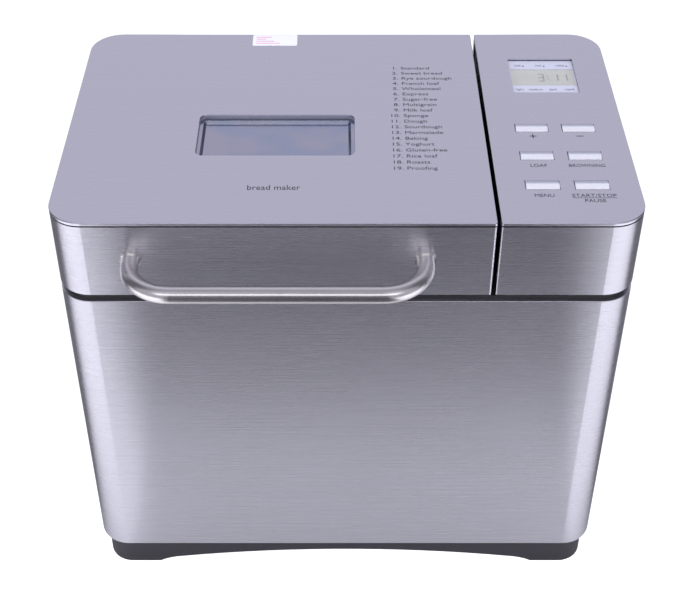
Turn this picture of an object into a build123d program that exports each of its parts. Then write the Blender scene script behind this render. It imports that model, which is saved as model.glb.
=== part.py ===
from build123d import *

import math
import os

# Bread machine with a horizontal pan. Millimetres, +Z up, X to the right, Y to the back.
# The origin is on the floor, under the middle of the box that holds the whole machine.

# ---------------------------------------------------------------- driving dimensions
WIDTH = 365.0  # outside of the steel body, left to right
DEPTH = 228.0  # outside of the steel body, front to back
CORNER_R = 22.0  # upright corners of body, lid and control unit
BASE_H = 26.5  # floor to the steel shell
BODY_H = 235.5  # steel shell
GROOVE_H = 5.5  # dark groove between shell and lid
LID_H = 56.0  # lid and control unit
SPLIT_X = 91.9  # middle of the gap between lid and control unit
SPLIT_GAP = 2.4
SHEET = 0.8  # steel sheet of shell, bands and chamber
PLATE = 1.0  # steel of the two top plates
PLASTIC = 2.2  # moulded walls
FOLD_R = 1.5  # corners of the bands beside the gap

HANDLE_R = 5.5  # handle tube, outside radius
HANDLE_STANDOFF = 33.2  # tube's centre line in front of the lid
HANDLE_SPAN = 181.0
HANDLE_X = -42.2
HANDLE_BEND_R = 27.0

WINDOW_SIZE = (103.0, 48.0)
WINDOW_R = 5.0
WINDOW_FROM_FRONT = 96.0
DISPLAY_SIZE = (45.4, 44.9)
DISPLAY_FROM_FRONT = 170.5
KEY_SIZE = (21.0, 9.0)
KEY_PITCH = (30.7, 32.2)
KEYS_X = 137.15  # middle of the key columns and of the display
KEYS_FROM_FRONT = 71.8
KEY_GAP = 0.4  # between a key and its opening in the top plate
KEY_TRAVEL = 1.0

CHAMBER_SIZE = (224.0, 160.0)
CHAMBER_R = 20.0
PAN_FOOT = (176.0, 120.0)  # pan's outside, in plan, at its floor
PAN_H = 134.0
PAN_TAPER = 2.6  # degrees
PAN_WALL = 1.5
BAIL_REACH = 64.0
MOTOR_X = 125.0
MOTOR_SIDE = 78.0
BIG_PULLEY_R = 55.0
SMALL_PULLEY_R = 8.0
SHAFT_R = 4.0
RUNNING = 0.05  # radial clearance of a shaft in its bush
CLEAR = 0.3  # between curved faces that pass each other

# ---------------------------------------------------------------- heights and places worked out
HANDLE_REACH = HANDLE_STANDOFF + HANDLE_R
FRONT_Y = (HANDLE_REACH - DEPTH) / 2
BACK_Y = FRONT_Y + DEPTH
CENTRE_Y = (FRONT_Y + BACK_Y) / 2
HALF_W = WIDTH / 2
SHELL_TOP = BASE_H + BODY_H
LID_BOTTOM = SHELL_TOP + GROOVE_H
TOP = LID_BOTTOM + LID_H
LID_RIGHT = SPLIT_X - SPLIT_GAP / 2
CONTROL_LEFT = SPLIT_X + SPLIT_GAP / 2
LID_X = (LID_RIGHT - HALF_W) / 2  # middle of lid, window, chamber and pan

FOOT_LIFT = 1.0  # rubber below the plastic base
BASE_INSET = 4.3
TRAY_TOP = BASE_H
TRAY_FLOOR = 3.0
DECK_TOP = LID_BOTTOM - 3.0
DECK_INSET = 3.0
RIM_H = 2.0  # turned-down edge of the top plates
SEAM = 1.0  # dark seam under the top plates
BAND_TOP = TOP - RIM_H - SEAM
FLANGE = 3.2  # folded edges of the bands
LIP = SHEET + FLANGE + 0.2  # carcass just inside those folded edges
WEB_TOP = TOP - PLATE
WEB_LOW = WEB_TOP - 2.0

HINGE_Y = BACK_Y - 8.0
HINGE_Z = TOP - 17.5
NOTCH_Y = BACK_Y - 14.0  # the lid's rear is cut away behind this
NOTCH_Z = HINGE_Z - 4.2  # and below this
HINGE_X = (LID_X - 74.0, LID_X + 74.0)
HINGE_PIN_R = 2.5
LUG_W = 8.0

CHAMBER_FLOOR = 58.0
PAN_FLOOR = 84.0
PAN_RIM = PAN_FLOOR + PAN_H
BAIL_Z = PAN_RIM + 8.0
BAIL_WIRE_R = 2.5
EAR_X = 99.0  # middle of each ear's thickness, from the pan's middle
CHASSIS_TOP = 47.5
CHASSIS_T = 1.5
PULLEY_LOW = 30.0
PULLEY_W = 12.0
BELT_W = 9.0
BELT_T = 2.6
MOTOR_LOW = CHASSIS_TOP
STATOR_LOW = 62.0
STATOR_H = 40.0
STATOR_BORE_R = 24.5
MOTOR_TOP = 118.0


# ---------------------------------------------------------------- plan outlines and small helpers
def body_outline(inset):
    """The body in plan, moved in by inset."""
    with BuildSketch() as outline:
        with Locations((0, CENTRE_Y)):
            RectangleRounded(WIDTH - 2 * inset, DEPTH - 2 * inset, CORNER_R - inset)
    return outline.sketch


def lid_outline(inset):
    """The lid in plan: the body's outline left of the gap."""
    with BuildSketch() as outline:
        add(body_outline(inset))
        with Locations((LID_RIGHT - inset, CENTRE_Y)):
            Rectangle(WIDTH, DEPTH, align=(Align.MAX, Align.CENTER), mode=Mode.INTERSECT)
        fillet(outline.vertices().group_by(Axis.X)[-1], max(FOLD_R - inset, 0.3))
    return outline.sketch


def control_outline(inset):
    """The control unit in plan: the body's outline right of the gap."""
    with BuildSketch() as outline:
        add(body_outline(inset))
        with Locations((CONTROL_LEFT + inset, CENTRE_Y)):
            Rectangle(WIDTH, DEPTH, align=(Align.MIN, Align.CENTER), mode=Mode.INTERSECT)
        fillet(outline.vertices().group_by(Axis.X)[0], max(FOLD_R - inset, 0.3))
    return outline.sketch


def chamber_outline(grow):
    """The oven chamber in plan, moved out by grow."""
    with BuildSketch() as outline:
        with Locations((LID_X, CENTRE_Y)):
            RectangleRounded(
                CHAMBER_SIZE[0] + 2 * grow, CHAMBER_SIZE[1] + 2 * grow, CHAMBER_R + grow
            )
    return outline.sketch


def window_outline(grow):
    """The viewing window in plan, moved out by grow."""
    with BuildSketch() as outline:
        with Locations((LID_X, FRONT_Y + WINDOW_FROM_FRONT)):
            RectangleRounded(
                WINDOW_SIZE[0] + 2 * grow, WINDOW_SIZE[1] + 2 * grow, WINDOW_R + grow
            )
    return outline.sketch


def storey(outline, low, high, outer, inner=None, mode=Mode.ADD):
    """Extrude an outline from low to high, hollow inside the second offset."""
    with BuildSketch(Plane.XY.offset(low)) as profile:
        add(outline(outer))
        if inner is not None:
            add(outline(inner), mode=Mode.SUBTRACT)
    extrude(profile.sketch, amount=high - low, mode=mode)


def block(x, y, z, mode=Mode.ADD):
    """Box between two values of x, of y and of z."""
    with Locations(((x[0] + x[1]) / 2, (y[0] + y[1]) / 2, (z[0] + z[1]) / 2)):
        Box(x[1] - x[0], y[1] - y[0], z[1] - z[0], mode=mode)


def post(x, y, radius, low, high, mode=Mode.ADD):
    """Upright round post or hole."""
    with Locations((x, y, (low + high) / 2)):
        Cylinder(radius, high - low, mode=mode)


def turned(x, y, points, mode=Mode.ADD):
    """Turn (radius, height) points about the upright line through x, y."""
    with BuildSketch(Plane((x, y, 0), x_dir=(1, 0, 0), z_dir=(0, -1, 0))) as profile:
        with BuildLine():
            Polyline(*points, close=True)
        make_face()
    revolve(profile.sketch, axis=Axis((x, y, 0), (0, 0, 1)), mode=mode)


def save(piece, name):
    """Label a finished piece and write it as its own STEP file."""
    piece.part.label = name
    export_step(piece.part, f"parts/{name}.step")


os.makedirs("parts", exist_ok=True)

# ---------------------------------------------------------------- base
FOOT_X = 152.0
FOOT_IN = 21.0  # foot's middle, in from the front and back of the body
FEET = [(x, y) for x in (-FOOT_X, FOOT_X) for y in (FRONT_Y + FOOT_IN, BACK_Y - FOOT_IN)]
FOOT_R = 8.0
FOOT_H = 5.0
ARCH_END_X = 139.5
ARCH_KNEE = (124.0, 6.0)
ARCH_TOP_Z = 14.4
SIDE_ARCH_Y = 74.0
SIDE_ARCH_Z = 10.0
CHASSIS_X = (-150.0, 172.0)
CHASSIS_HALF_D = 74.0
CHASSIS_FLANGE = 13.0
TAB_Y = CHASSIS_HALF_D + 6.5
CHASSIS_SCREWS = [(x, CENTRE_Y + side * TAB_Y) for x in (-130, 20, 128) for side in (-1, 1)]
SCREW_R = 1.5

with BuildPart() as base_tray:
    storey(body_outline, TRAY_TOP - TRAY_FLOOR, TRAY_TOP, BASE_INSET)
    storey(body_outline, FOOT_LIFT, TRAY_TOP - TRAY_FLOOR, BASE_INSET, BASE_INSET + 3)
    for x, y in FEET:
        post(x, y, 11.5, FOOT_LIFT, TRAY_TOP - TRAY_FLOOR)
        post(x, y, FOOT_R, FOOT_LIFT, FOOT_H, mode=Mode.SUBTRACT)
    with BuildSketch(Plane.XZ.offset(-CENTRE_Y)) as front_arch:
        with BuildLine():
            ThreePointArc(
                (-ARCH_END_X, FOOT_LIFT),
                (-ARCH_END_X + 7, 4.2),
                (-ARCH_KNEE[0], ARCH_KNEE[1]),
            )
            ThreePointArc((-ARCH_KNEE[0], ARCH_KNEE[1]), (0, ARCH_TOP_Z), ARCH_KNEE)
            ThreePointArc(ARCH_KNEE, (ARCH_END_X - 7, 4.2), (ARCH_END_X, FOOT_LIFT))
            Polyline(
                (ARCH_END_X, FOOT_LIFT),
                (ARCH_END_X, -1),
                (-ARCH_END_X, -1),
                (-ARCH_END_X, FOOT_LIFT),
            )
        make_face()
    extrude(amount=DEPTH, both=True, mode=Mode.SUBTRACT)
    with BuildSketch(Plane.YZ) as side_arch:
        with BuildLine():
            side_low = (CENTRE_Y - SIDE_ARCH_Y, FOOT_LIFT)
            side_high = (CENTRE_Y + SIDE_ARCH_Y, FOOT_LIFT)
            ThreePointArc(side_low, (CENTRE_Y, SIDE_ARCH_Z), side_high)
            Polyline(side_high, (side_high[0], -1), (side_low[0], -1), side_low)
        make_face()
    extrude(amount=WIDTH, both=True, mode=Mode.SUBTRACT)
    with Locations((MOTOR_X, CENTRE_Y, TRAY_TOP)):
        with GridLocations(0, 12, 1, 7):
            Box(46, 4, 4 * TRAY_FLOOR, mode=Mode.SUBTRACT)
    for x, y in CHASSIS_SCREWS:
        post(x, y, SCREW_R, 0, TRAY_TOP, mode=Mode.SUBTRACT)
save(base_tray, "base_tray")

with BuildPart() as rubber_feet:
    for x, y in FEET:
        post(x, y, FOOT_R, 0, FOOT_H)
    fillet(rubber_feet.edges().group_by(Axis.Z)[0], 0.8)
save(rubber_feet, "rubber_feet")

# ---------------------------------------------------------------- chassis: bench for oven and motor
MOTOR_BOLT = 28.0
MOTOR_BOLTS = [
    (MOTOR_X + i * MOTOR_BOLT, CENTRE_Y + j * MOTOR_BOLT) for i in (-1, 1) for j in (-1, 1)
]
with BuildPart() as chassis_plate:
    with BuildSketch(Plane.YZ.offset(CHASSIS_X[0])) as hat:
        with BuildLine():
            low, high = TRAY_TOP, CHASSIS_TOP
            near, far = CHASSIS_HALF_D, CHASSIS_HALF_D + CHASSIS_FLANGE
            Polyline(
                (CENTRE_Y - far, low + CHASSIS_T),
                (CENTRE_Y - near - CHASSIS_T, low + CHASSIS_T),
                (CENTRE_Y - near - CHASSIS_T, high),
                (CENTRE_Y + near + CHASSIS_T, high),
                (CENTRE_Y + near + CHASSIS_T, low + CHASSIS_T),
                (CENTRE_Y + far, low + CHASSIS_T),
                (CENTRE_Y + far, low),
                (CENTRE_Y + near, low),
                (CENTRE_Y + near, high - CHASSIS_T),
                (CENTRE_Y - near, high - CHASSIS_T),
                (CENTRE_Y - near, low),
                (CENTRE_Y - far, low),
                close=True,
            )
        make_face()
    extrude(amount=CHASSIS_X[1] - CHASSIS_X[0])
    post(LID_X, CENTRE_Y, 12.3, 40, 50, mode=Mode.SUBTRACT)
    post(MOTOR_X, CENTRE_Y, 9, 40, 50, mode=Mode.SUBTRACT)
    for x, y in MOTOR_BOLTS:
        post(x, y, 2.0, 40, 50, mode=Mode.SUBTRACT)
    for x, y in CHASSIS_SCREWS:
        post(x, y, SCREW_R, TRAY_TOP - 1, TRAY_TOP + 3, mode=Mode.SUBTRACT)
    for side in (-1, 1):
        with Locations((LID_X + 66 * side, CENTRE_Y, CHASSIS_TOP)):
            Box(24, 90, 6, mode=Mode.SUBTRACT)
save(chassis_plate, "chassis_plate")

# ---------------------------------------------------------------- steel shell and rear panel
SHELL_FLANGE = 2.1
PANEL_X = 150.0
PANEL_Z = (36.0, 246.0)
PANEL_LAP = 6.0
PANEL_PRESS = 3.2  # how far the panel's middle is pressed in
GLAND_X = 128.0
GLAND_Z = 52.0
GLAND_HOLE_R = 7.0
PANEL_SCREWS = [(x, z) for x in (-140, 140) for z in (80, 208)]

with BuildPart() as outer_shell:
    storey(body_outline, BASE_H, SHELL_TOP, 0, SHEET)
    storey(body_outline, SHELL_TOP - SHEET, SHELL_TOP, 0, SHEET + SHELL_FLANGE)
    storey(body_outline, BASE_H, BASE_H + SHEET, 0, 9)
    top_edge = outer_shell.faces().sort_by(Axis.Z)[-1].outer_wire().edges()
    fillet(top_edge, 0.6)
    block((-PANEL_X, PANEL_X), (BACK_Y - 3, BACK_Y + 1), PANEL_Z, mode=Mode.SUBTRACT)
save(outer_shell, "outer_shell")


def panel_slab(reach, outer, inner):
    """Upright slab in the rear opening: margin round the opening, outer and inner depth."""
    block(
        (-PANEL_X - reach, PANEL_X + reach),
        (BACK_Y - inner, BACK_Y - outer),
        (PANEL_Z[0] - reach, PANEL_Z[1] + reach),
    )


with BuildPart() as rear_panel:
    panel_slab(PANEL_LAP, SHEET, 2 * SHEET)
    panel_slab(-3, SHEET, PANEL_PRESS + SHEET)
    fillet(rear_panel.edges().filter_by(Axis.Y).group_by(Axis.Y)[0], 8)
    block(
        (-PANEL_X + 3.8, PANEL_X - 3.8),
        (BACK_Y - PANEL_PRESS, BACK_Y),
        (PANEL_Z[0] + 3.8, PANEL_Z[1] - 3.8),
        mode=Mode.SUBTRACT,
    )
    with Locations(Plane((MOTOR_X, BACK_Y, 150), x_dir=(1, 0, 0), z_dir=(0, -1, 0))):
        with GridLocations(0, 9, 1, 12):
            Box(34, 3.2, 12, mode=Mode.SUBTRACT)
    with Locations(Plane((LID_X, BACK_Y, 222), x_dir=(1, 0, 0), z_dir=(0, -1, 0))):
        with GridLocations(9, 0, 16, 1):
            Box(3.2, 26, 12, mode=Mode.SUBTRACT)
    with Locations(Plane((GLAND_X, BACK_Y, GLAND_Z), x_dir=(1, 0, 0), z_dir=(0, -1, 0))):
        Cylinder(GLAND_HOLE_R, 12, mode=Mode.SUBTRACT)
    with Locations(
        *[Plane((x, BACK_Y, z), x_dir=(1, 0, 0), z_dir=(0, -1, 0)) for x, z in PANEL_SCREWS],
    ):
        Cylinder(SCREW_R, 12, mode=Mode.SUBTRACT)
save(rear_panel, "rear_panel")

PANEL_FACE_Y = BACK_Y - PANEL_PRESS
GLAND_BORE_R = 4.0
GLAND_L = 14.0
with BuildPart() as cord_gland:
    with BuildSketch(Plane.YZ.offset(GLAND_X)) as gland_profile:
        with BuildLine():
            face = PANEL_FACE_Y
            Polyline(
                (face + 2.6, GLAND_Z + GLAND_BORE_R),
                (face + 2.6, GLAND_Z + 9),
                (face, GLAND_Z + 10),
                (face, GLAND_Z + GLAND_HOLE_R),
                (face - SHEET, GLAND_Z + GLAND_HOLE_R),
                (face - SHEET, GLAND_Z + 9),
                (face + 2.6 - GLAND_L, GLAND_Z + 7),
                (face + 2.6 - GLAND_L, GLAND_Z + GLAND_BORE_R),
                close=True,
            )
        make_face()
    revolve(axis=Axis((GLAND_X, 0, GLAND_Z), (0, 1, 0)))
save(cord_gland, "cord_gland")

# ---------------------------------------------------------------- top deck and hinge housing
CHAMBER_LIP = 8.0
with BuildPart() as top_deck:
    storey(body_outline, DECK_TOP - 3, DECK_TOP, DECK_INSET)
    storey(body_outline, DECK_TOP - 16, DECK_TOP - 3, DECK_INSET, DECK_INSET + 2.5)
    storey(chamber_outline, DECK_TOP - SHEET, DECK_TOP + 1, CHAMBER_LIP + 1, mode=Mode.SUBTRACT)
    storey(chamber_outline, DECK_TOP - 4, DECK_TOP + 1, SHEET + 0.2, mode=Mode.SUBTRACT)
    block((120, 160), (BACK_Y - 50, BACK_Y - 30), (DECK_TOP - 4, DECK_TOP + 1), mode=Mode.SUBTRACT)
save(top_deck, "top_deck")

HOUSING_TOP = HINGE_Z - 9.5
HOUSING_FRONT = NOTCH_Y + 0.6
LUG_R = 4.2
STEAM_SLOTS = 14


def hinge_axis(x):
    """Plane across the lid's hinge line at x, looking along it."""
    return Plane((x, HINGE_Y, HINGE_Z), x_dir=(0, 1, 0), z_dir=(1, 0, 0))


with BuildPart() as hinge_housing:
    storey(lid_outline, LID_BOTTOM, HOUSING_TOP, SHEET)
    storey(lid_outline, DECK_TOP, LID_BOTTOM, DECK_INSET + 0.3)
    block(
        (-HALF_W - 1, LID_RIGHT + 1),
        (FRONT_Y - 1, HOUSING_FRONT),
        (DECK_TOP - 1, TOP),
        mode=Mode.SUBTRACT,
    )
    block(
        (-HALF_W + 12, LID_RIGHT - 4),
        (HOUSING_FRONT + 2.4, BACK_Y - SHEET - 2.4),
        (DECK_TOP - 1, HOUSING_TOP - 2.4),
        mode=Mode.SUBTRACT,
    )
    with Locations((LID_X, BACK_Y, (LID_BOTTOM + HOUSING_TOP) / 2)):
        with GridLocations(12, 0, STEAM_SLOTS, 1):
            Box(4, 8, 14, mode=Mode.SUBTRACT)
    for hinge_x in HINGE_X:
        block(
            (hinge_x - LUG_W / 2, hinge_x + LUG_W / 2),
            (HINGE_Y - LUG_R, HINGE_Y + LUG_R),
            (HOUSING_TOP - 1, HINGE_Z),
        )
    with Locations(*[hinge_axis(hinge_x) for hinge_x in HINGE_X]):
        Cylinder(LUG_R, LUG_W)
        Cylinder(HINGE_PIN_R + RUNNING, LUG_W + 2, mode=Mode.SUBTRACT)
save(hinge_housing, "hinge_housing")

# ---------------------------------------------------------------- oven
HEATER_Z = 82.0
HEATER_R = 3.3
HEATER_HALF = (CHAMBER_SIZE[0] / 2 - 10, CHAMBER_SIZE[1] / 2 - 10)
HEATER_ENDS_Y = 14.0
HEATER_OUT = CHAMBER_SIZE[0] / 2 + 8
SENSOR_Z = 150.0
SENSOR_Y = CENTRE_Y - 30
CHAMBER_HOLE_R = 12.3


def chamber_tub(grow, floor):
    """Drawn tub with a rounded bottom edge, moved out by grow."""
    with BuildPart() as tub:
        storey(chamber_outline, floor, DECK_TOP, grow)
        fillet(tub.edges().group_by(Axis.Z)[0], 6 + grow)
    return tub.part


oven_tub = chamber_tub(SHEET, CHAMBER_FLOOR - SHEET)
oven_space = chamber_tub(0, CHAMBER_FLOOR)
with BuildPart() as oven_chamber:
    add(oven_tub)
    storey(chamber_outline, DECK_TOP - SHEET, DECK_TOP, CHAMBER_LIP)
    add(oven_space, mode=Mode.SUBTRACT)
    post(LID_X, CENTRE_Y, CHAMBER_HOLE_R, 50, 60, mode=Mode.SUBTRACT)
    side = LID_X + CHAMBER_SIZE[0] / 2
    for offset_y in (-HEATER_ENDS_Y, HEATER_ENDS_Y):
        with Locations(Plane((side, CENTRE_Y + offset_y, HEATER_Z), z_dir=(1, 0, 0))):
            Cylinder(HEATER_R + 0.4, 6, mode=Mode.SUBTRACT)
    with Locations(Plane((side, SENSOR_Y, SENSOR_Z), z_dir=(1, 0, 0))):
        Cylinder(3.0, 6, mode=Mode.SUBTRACT)
save(oven_chamber, "oven_chamber")

with BuildPart() as heating_element:
    with BuildLine() as heater_path:
        half_x, half_y = HEATER_HALF
        FilletPolyline(
            (LID_X + HEATER_OUT, CENTRE_Y - HEATER_ENDS_Y, HEATER_Z),
            (LID_X + half_x, CENTRE_Y - HEATER_ENDS_Y, HEATER_Z),
            (LID_X + half_x, CENTRE_Y - half_y, HEATER_Z),
            (LID_X - half_x, CENTRE_Y - half_y, HEATER_Z),
            (LID_X - half_x, CENTRE_Y + half_y, HEATER_Z),
            (LID_X + half_x, CENTRE_Y + half_y, HEATER_Z),
            (LID_X + half_x, CENTRE_Y + HEATER_ENDS_Y, HEATER_Z),
            (LID_X + HEATER_OUT, CENTRE_Y + HEATER_ENDS_Y, HEATER_Z),
            radius=9,
        )
    with BuildSketch(Plane((LID_X + HEATER_OUT, CENTRE_Y - HEATER_ENDS_Y, HEATER_Z), z_dir=(-1, 0, 0))):
        Circle(HEATER_R)
    sweep(path=heater_path.line)
    for offset_y in (-HEATER_ENDS_Y, HEATER_ENDS_Y):
        block(
            (LID_X + HEATER_OUT - 1, LID_X + HEATER_OUT + 6),
            (CENTRE_Y + offset_y - 0.4, CENTRE_Y + offset_y + 0.4),
            (HEATER_Z - 3, HEATER_Z + 3),
        )
save(heating_element, "heating_element")

with BuildPart() as heater_brackets:
    for offset_x in (-60, 60):
        for side in (-1, 1):
            x = LID_X + offset_x
            wall_y = CENTRE_Y + side * CHAMBER_SIZE[1] / 2
            tip_y = wall_y - side * 15
            block((x - 6, x + 6), sorted((wall_y, wall_y - side)), (HEATER_Z - 12, HEATER_Z + 9))
            block((x - 6, x + 6), sorted((wall_y, tip_y)), (HEATER_Z - 4.6, HEATER_Z - 3.6))
            block((x - 6, x + 6), sorted((tip_y, tip_y + side)), (HEATER_Z - 4.6, HEATER_Z + 4))
save(heater_brackets, "heater_brackets")

with BuildPart() as temperature_sensor:
    sensor_wall = LID_X + CHAMBER_SIZE[0] / 2
    with Locations(Plane((sensor_wall, SENSOR_Y, SENSOR_Z), z_dir=(1, 0, 0))):
        Cylinder(2.5, 26)
    with Locations(Plane((sensor_wall + SHEET + 1, SENSOR_Y, SENSOR_Z), z_dir=(1, 0, 0))):
        Cylinder(8, 2)
        Box(26, 10, 2)
save(temperature_sensor, "temperature_sensor")

CLIP_GAP = 0.6
RING_R = 45.0
RING_T = 1.2
with BuildPart() as pan_clips:
    for side in (-1, 1):
        inner = RING_R + CLIP_GAP
        with BuildSketch(Plane.XZ.offset(-CENTRE_Y)):
            with BuildLine():
                Polyline(
                    (LID_X + side * inner, CHAMBER_FLOOR),
                    (LID_X + side * (inner + 18), CHAMBER_FLOOR),
                    (LID_X + side * (inner + 18), CHAMBER_FLOOR + 1),
                    (LID_X + side * (inner + 1), CHAMBER_FLOOR + 1),
                    (LID_X + side * (inner + 1), CHAMBER_FLOOR + 17),
                    (LID_X + side * (inner + 6), CHAMBER_FLOOR + 22),
                    (LID_X + side * (inner + 5.3), CHAMBER_FLOOR + 22.7),
                    (LID_X + side * inner, CHAMBER_FLOOR + 17.5),
                    close=True,
                )
            make_face()
        extrude(amount=9, both=True)
save(pan_clips, "pan_clips")

with BuildPart() as heat_shield:
    shield_x = LID_X + CHAMBER_SIZE[0] / 2 + 16.4
    block((shield_x, shield_x + SHEET), (CENTRE_Y - 76, CENTRE_Y + 76), (CHASSIS_TOP + 1, 240))
    block(
        (shield_x - 10, shield_x + SHEET),
        (CENTRE_Y - 76, CENTRE_Y + 76),
        (CHASSIS_TOP, CHASSIS_TOP + 1),
    )
    with Locations((shield_x, CENTRE_Y, 205)):
        with GridLocations(0, 16, 1, 6):
            Box(6, 6, 36, mode=Mode.SUBTRACT)
save(heat_shield, "heat_shield")

# ---------------------------------------------------------------- kneading drive
BEARING_LOW = 42.4
BEARING_TOP = 63.0
BUSH_R = 9.0
BUSH_H = 6.0
COUPLING_LOW = BEARING_TOP + 0.6
DOG_TOP = 78.0
DOG_LOW = 69.5
SHAFT_TOP = 74.0
SHAFT_LOW = PULLEY_LOW - 1.0
BORE_R = SHAFT_R + RUNNING

with BuildPart() as bearing_housing:
    turned(
        LID_X,
        CENTRE_Y,
        [
            (BUSH_R, BEARING_LOW),
            (12, BEARING_LOW),
            (12, CHASSIS_TOP),
            (30, CHASSIS_TOP),
            (30, CHASSIS_TOP + 3),
            (15, CHASSIS_TOP + 3),
            (15, CHAMBER_FLOOR - SHEET - 3),
            (22, CHAMBER_FLOOR - SHEET - 3),
            (22, CHAMBER_FLOOR - SHEET),
            (12, CHAMBER_FLOOR - SHEET),
            (12, BEARING_TOP),
            (BUSH_R, BEARING_TOP),
        ],
    )
    with Locations((LID_X, CENTRE_Y, CHASSIS_TOP + 1.5)):
        with PolarLocations(24, 4, start_angle=45):
            Cylinder(2, 4, mode=Mode.SUBTRACT)
save(bearing_housing, "bearing_housing")

with BuildPart() as shaft_bushes:
    for low in (BEARING_LOW, BEARING_TOP - BUSH_H):
        turned(
            LID_X,
            CENTRE_Y,
            [(BORE_R, low), (BUSH_R, low), (BUSH_R, low + BUSH_H), (BORE_R, low + BUSH_H)],
        )
save(shaft_bushes, "shaft_bushes")

with BuildPart() as drive_shaft:
    post(LID_X, CENTRE_Y, SHAFT_R, SHAFT_LOW, SHAFT_TOP)
    chamfer(drive_shaft.edges(), 0.5)
save(drive_shaft, "drive_shaft")

with BuildPart() as drive_pulley:
    turned(
        LID_X,
        CENTRE_Y,
        [
            (SHAFT_R, PULLEY_LOW),
            (10, PULLEY_LOW),
            (10, PULLEY_LOW + 4),
            (BIG_PULLEY_R - 5, PULLEY_LOW + 4),
            (BIG_PULLEY_R - 5, PULLEY_LOW),
            (BIG_PULLEY_R + 2, PULLEY_LOW),
            (BIG_PULLEY_R + 2, PULLEY_LOW + 1),
            (BIG_PULLEY_R, PULLEY_LOW + 1.2),
            (BIG_PULLEY_R, PULLEY_LOW + PULLEY_W - 1.2),
            (BIG_PULLEY_R + 2, PULLEY_LOW + PULLEY_W - 1),
            (BIG_PULLEY_R + 2, PULLEY_LOW + PULLEY_W),
            (BIG_PULLEY_R - 5, PULLEY_LOW + PULLEY_W),
            (BIG_PULLEY_R - 5, PULLEY_LOW + 8),
            (10, PULLEY_LOW + 8),
            (10, PULLEY_LOW + PULLEY_W),
            (SHAFT_R, PULLEY_LOW + PULLEY_W),
        ],
    )
    with Locations((LID_X, CENTRE_Y, PULLEY_LOW + 6)):
        with PolarLocations(30, 6):
            Cylinder(10.5, 8, mode=Mode.SUBTRACT)
save(drive_pulley, "drive_pulley")

with BuildPart() as drive_coupling:
    turned(
        LID_X,
        CENTRE_Y,
        [
            (SHAFT_R, COUPLING_LOW),
            (10, COUPLING_LOW),
            (16, COUPLING_LOW + 1.5),
            (16, DOG_LOW - 0.5),
            (SHAFT_R, DOG_LOW - 0.5),
        ],
    )
    with Locations((LID_X, CENTRE_Y, (DOG_LOW + DOG_TOP - 1) / 2)):
        with PolarLocations(11, 2):
            Box(7, 10, DOG_TOP - DOG_LOW)
    fillet(drive_coupling.edges().group_by(Axis.Z)[-1], 1)
save(drive_coupling, "drive_coupling")

BELT_LOW = PULLEY_LOW + (PULLEY_W - BELT_W) / 2


def belt_loop(grow):
    """Open belt round the two pulleys, in plan, its inner face moved out by grow."""
    with BuildSketch() as loop:
        with BuildLine():
            CenterArc((LID_X, CENTRE_Y), BIG_PULLEY_R + CLEAR + grow, 0, 360)
            CenterArc((MOTOR_X, CENTRE_Y), SMALL_PULLEY_R + CLEAR + grow, 0, 360)
        make_hull()
    return loop.sketch


with BuildPart() as drive_belt:
    storey(belt_loop, BELT_LOW, BELT_LOW + BELT_W, BELT_T, 0)
save(drive_belt, "drive_belt")

# ---------------------------------------------------------------- motor
with BuildPart() as motor_pulley:
    turned(
        MOTOR_X,
        CENTRE_Y,
        [
            (SHAFT_R, PULLEY_LOW),
            (SMALL_PULLEY_R + 3, PULLEY_LOW),
            (SMALL_PULLEY_R + 3, PULLEY_LOW + 1),
            (SMALL_PULLEY_R, PULLEY_LOW + 1.2),
            (SMALL_PULLEY_R, PULLEY_LOW + PULLEY_W - 1.2),
            (SMALL_PULLEY_R + 3, PULLEY_LOW + PULLEY_W - 1),
            (SMALL_PULLEY_R + 3, PULLEY_LOW + PULLEY_W),
            (SHAFT_R, PULLEY_LOW + PULLEY_W),
        ],
    )
save(motor_pulley, "motor_pulley")

ROTOR_R = STATOR_BORE_R - 0.5
with BuildPart() as motor_rotor:
    post(MOTOR_X, CENTRE_Y, SHAFT_R, SHAFT_LOW, MOTOR_TOP + 3)
    post(MOTOR_X, CENTRE_Y, ROTOR_R, STATOR_LOW + 1, STATOR_LOW + STATOR_H - 1)
    post(MOTOR_X, CENTRE_Y, ROTOR_R - 4, STATOR_LOW - 3, STATOR_LOW + STATOR_H + 3)
save(motor_rotor, "motor_rotor")


def motor_square(inset):
    """The motor in plan, moved in by inset."""
    with BuildSketch() as square:
        with Locations((MOTOR_X, CENTRE_Y)):
            Rectangle(MOTOR_SIDE - 2 * inset, MOTOR_SIDE - 2 * inset)
        chamfer(square.vertices(), 9 - inset / 2)
    return square.sketch


with BuildPart() as motor_stator:
    storey(motor_square, STATOR_LOW, STATOR_LOW + STATOR_H, 0)
    for low in (STATOR_LOW - 7, STATOR_LOW + STATOR_H):
        turned(
            MOTOR_X,
            CENTRE_Y,
            [(26, low), (32, low), (34, low + 2), (34, low + 5), (32, low + 7), (26, low + 7)],
        )
    post(
        MOTOR_X,
        CENTRE_Y,
        STATOR_BORE_R,
        STATOR_LOW - 1,
        STATOR_LOW + STATOR_H + 1,
        mode=Mode.SUBTRACT,
    )
save(motor_stator, "motor_stator")

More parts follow.
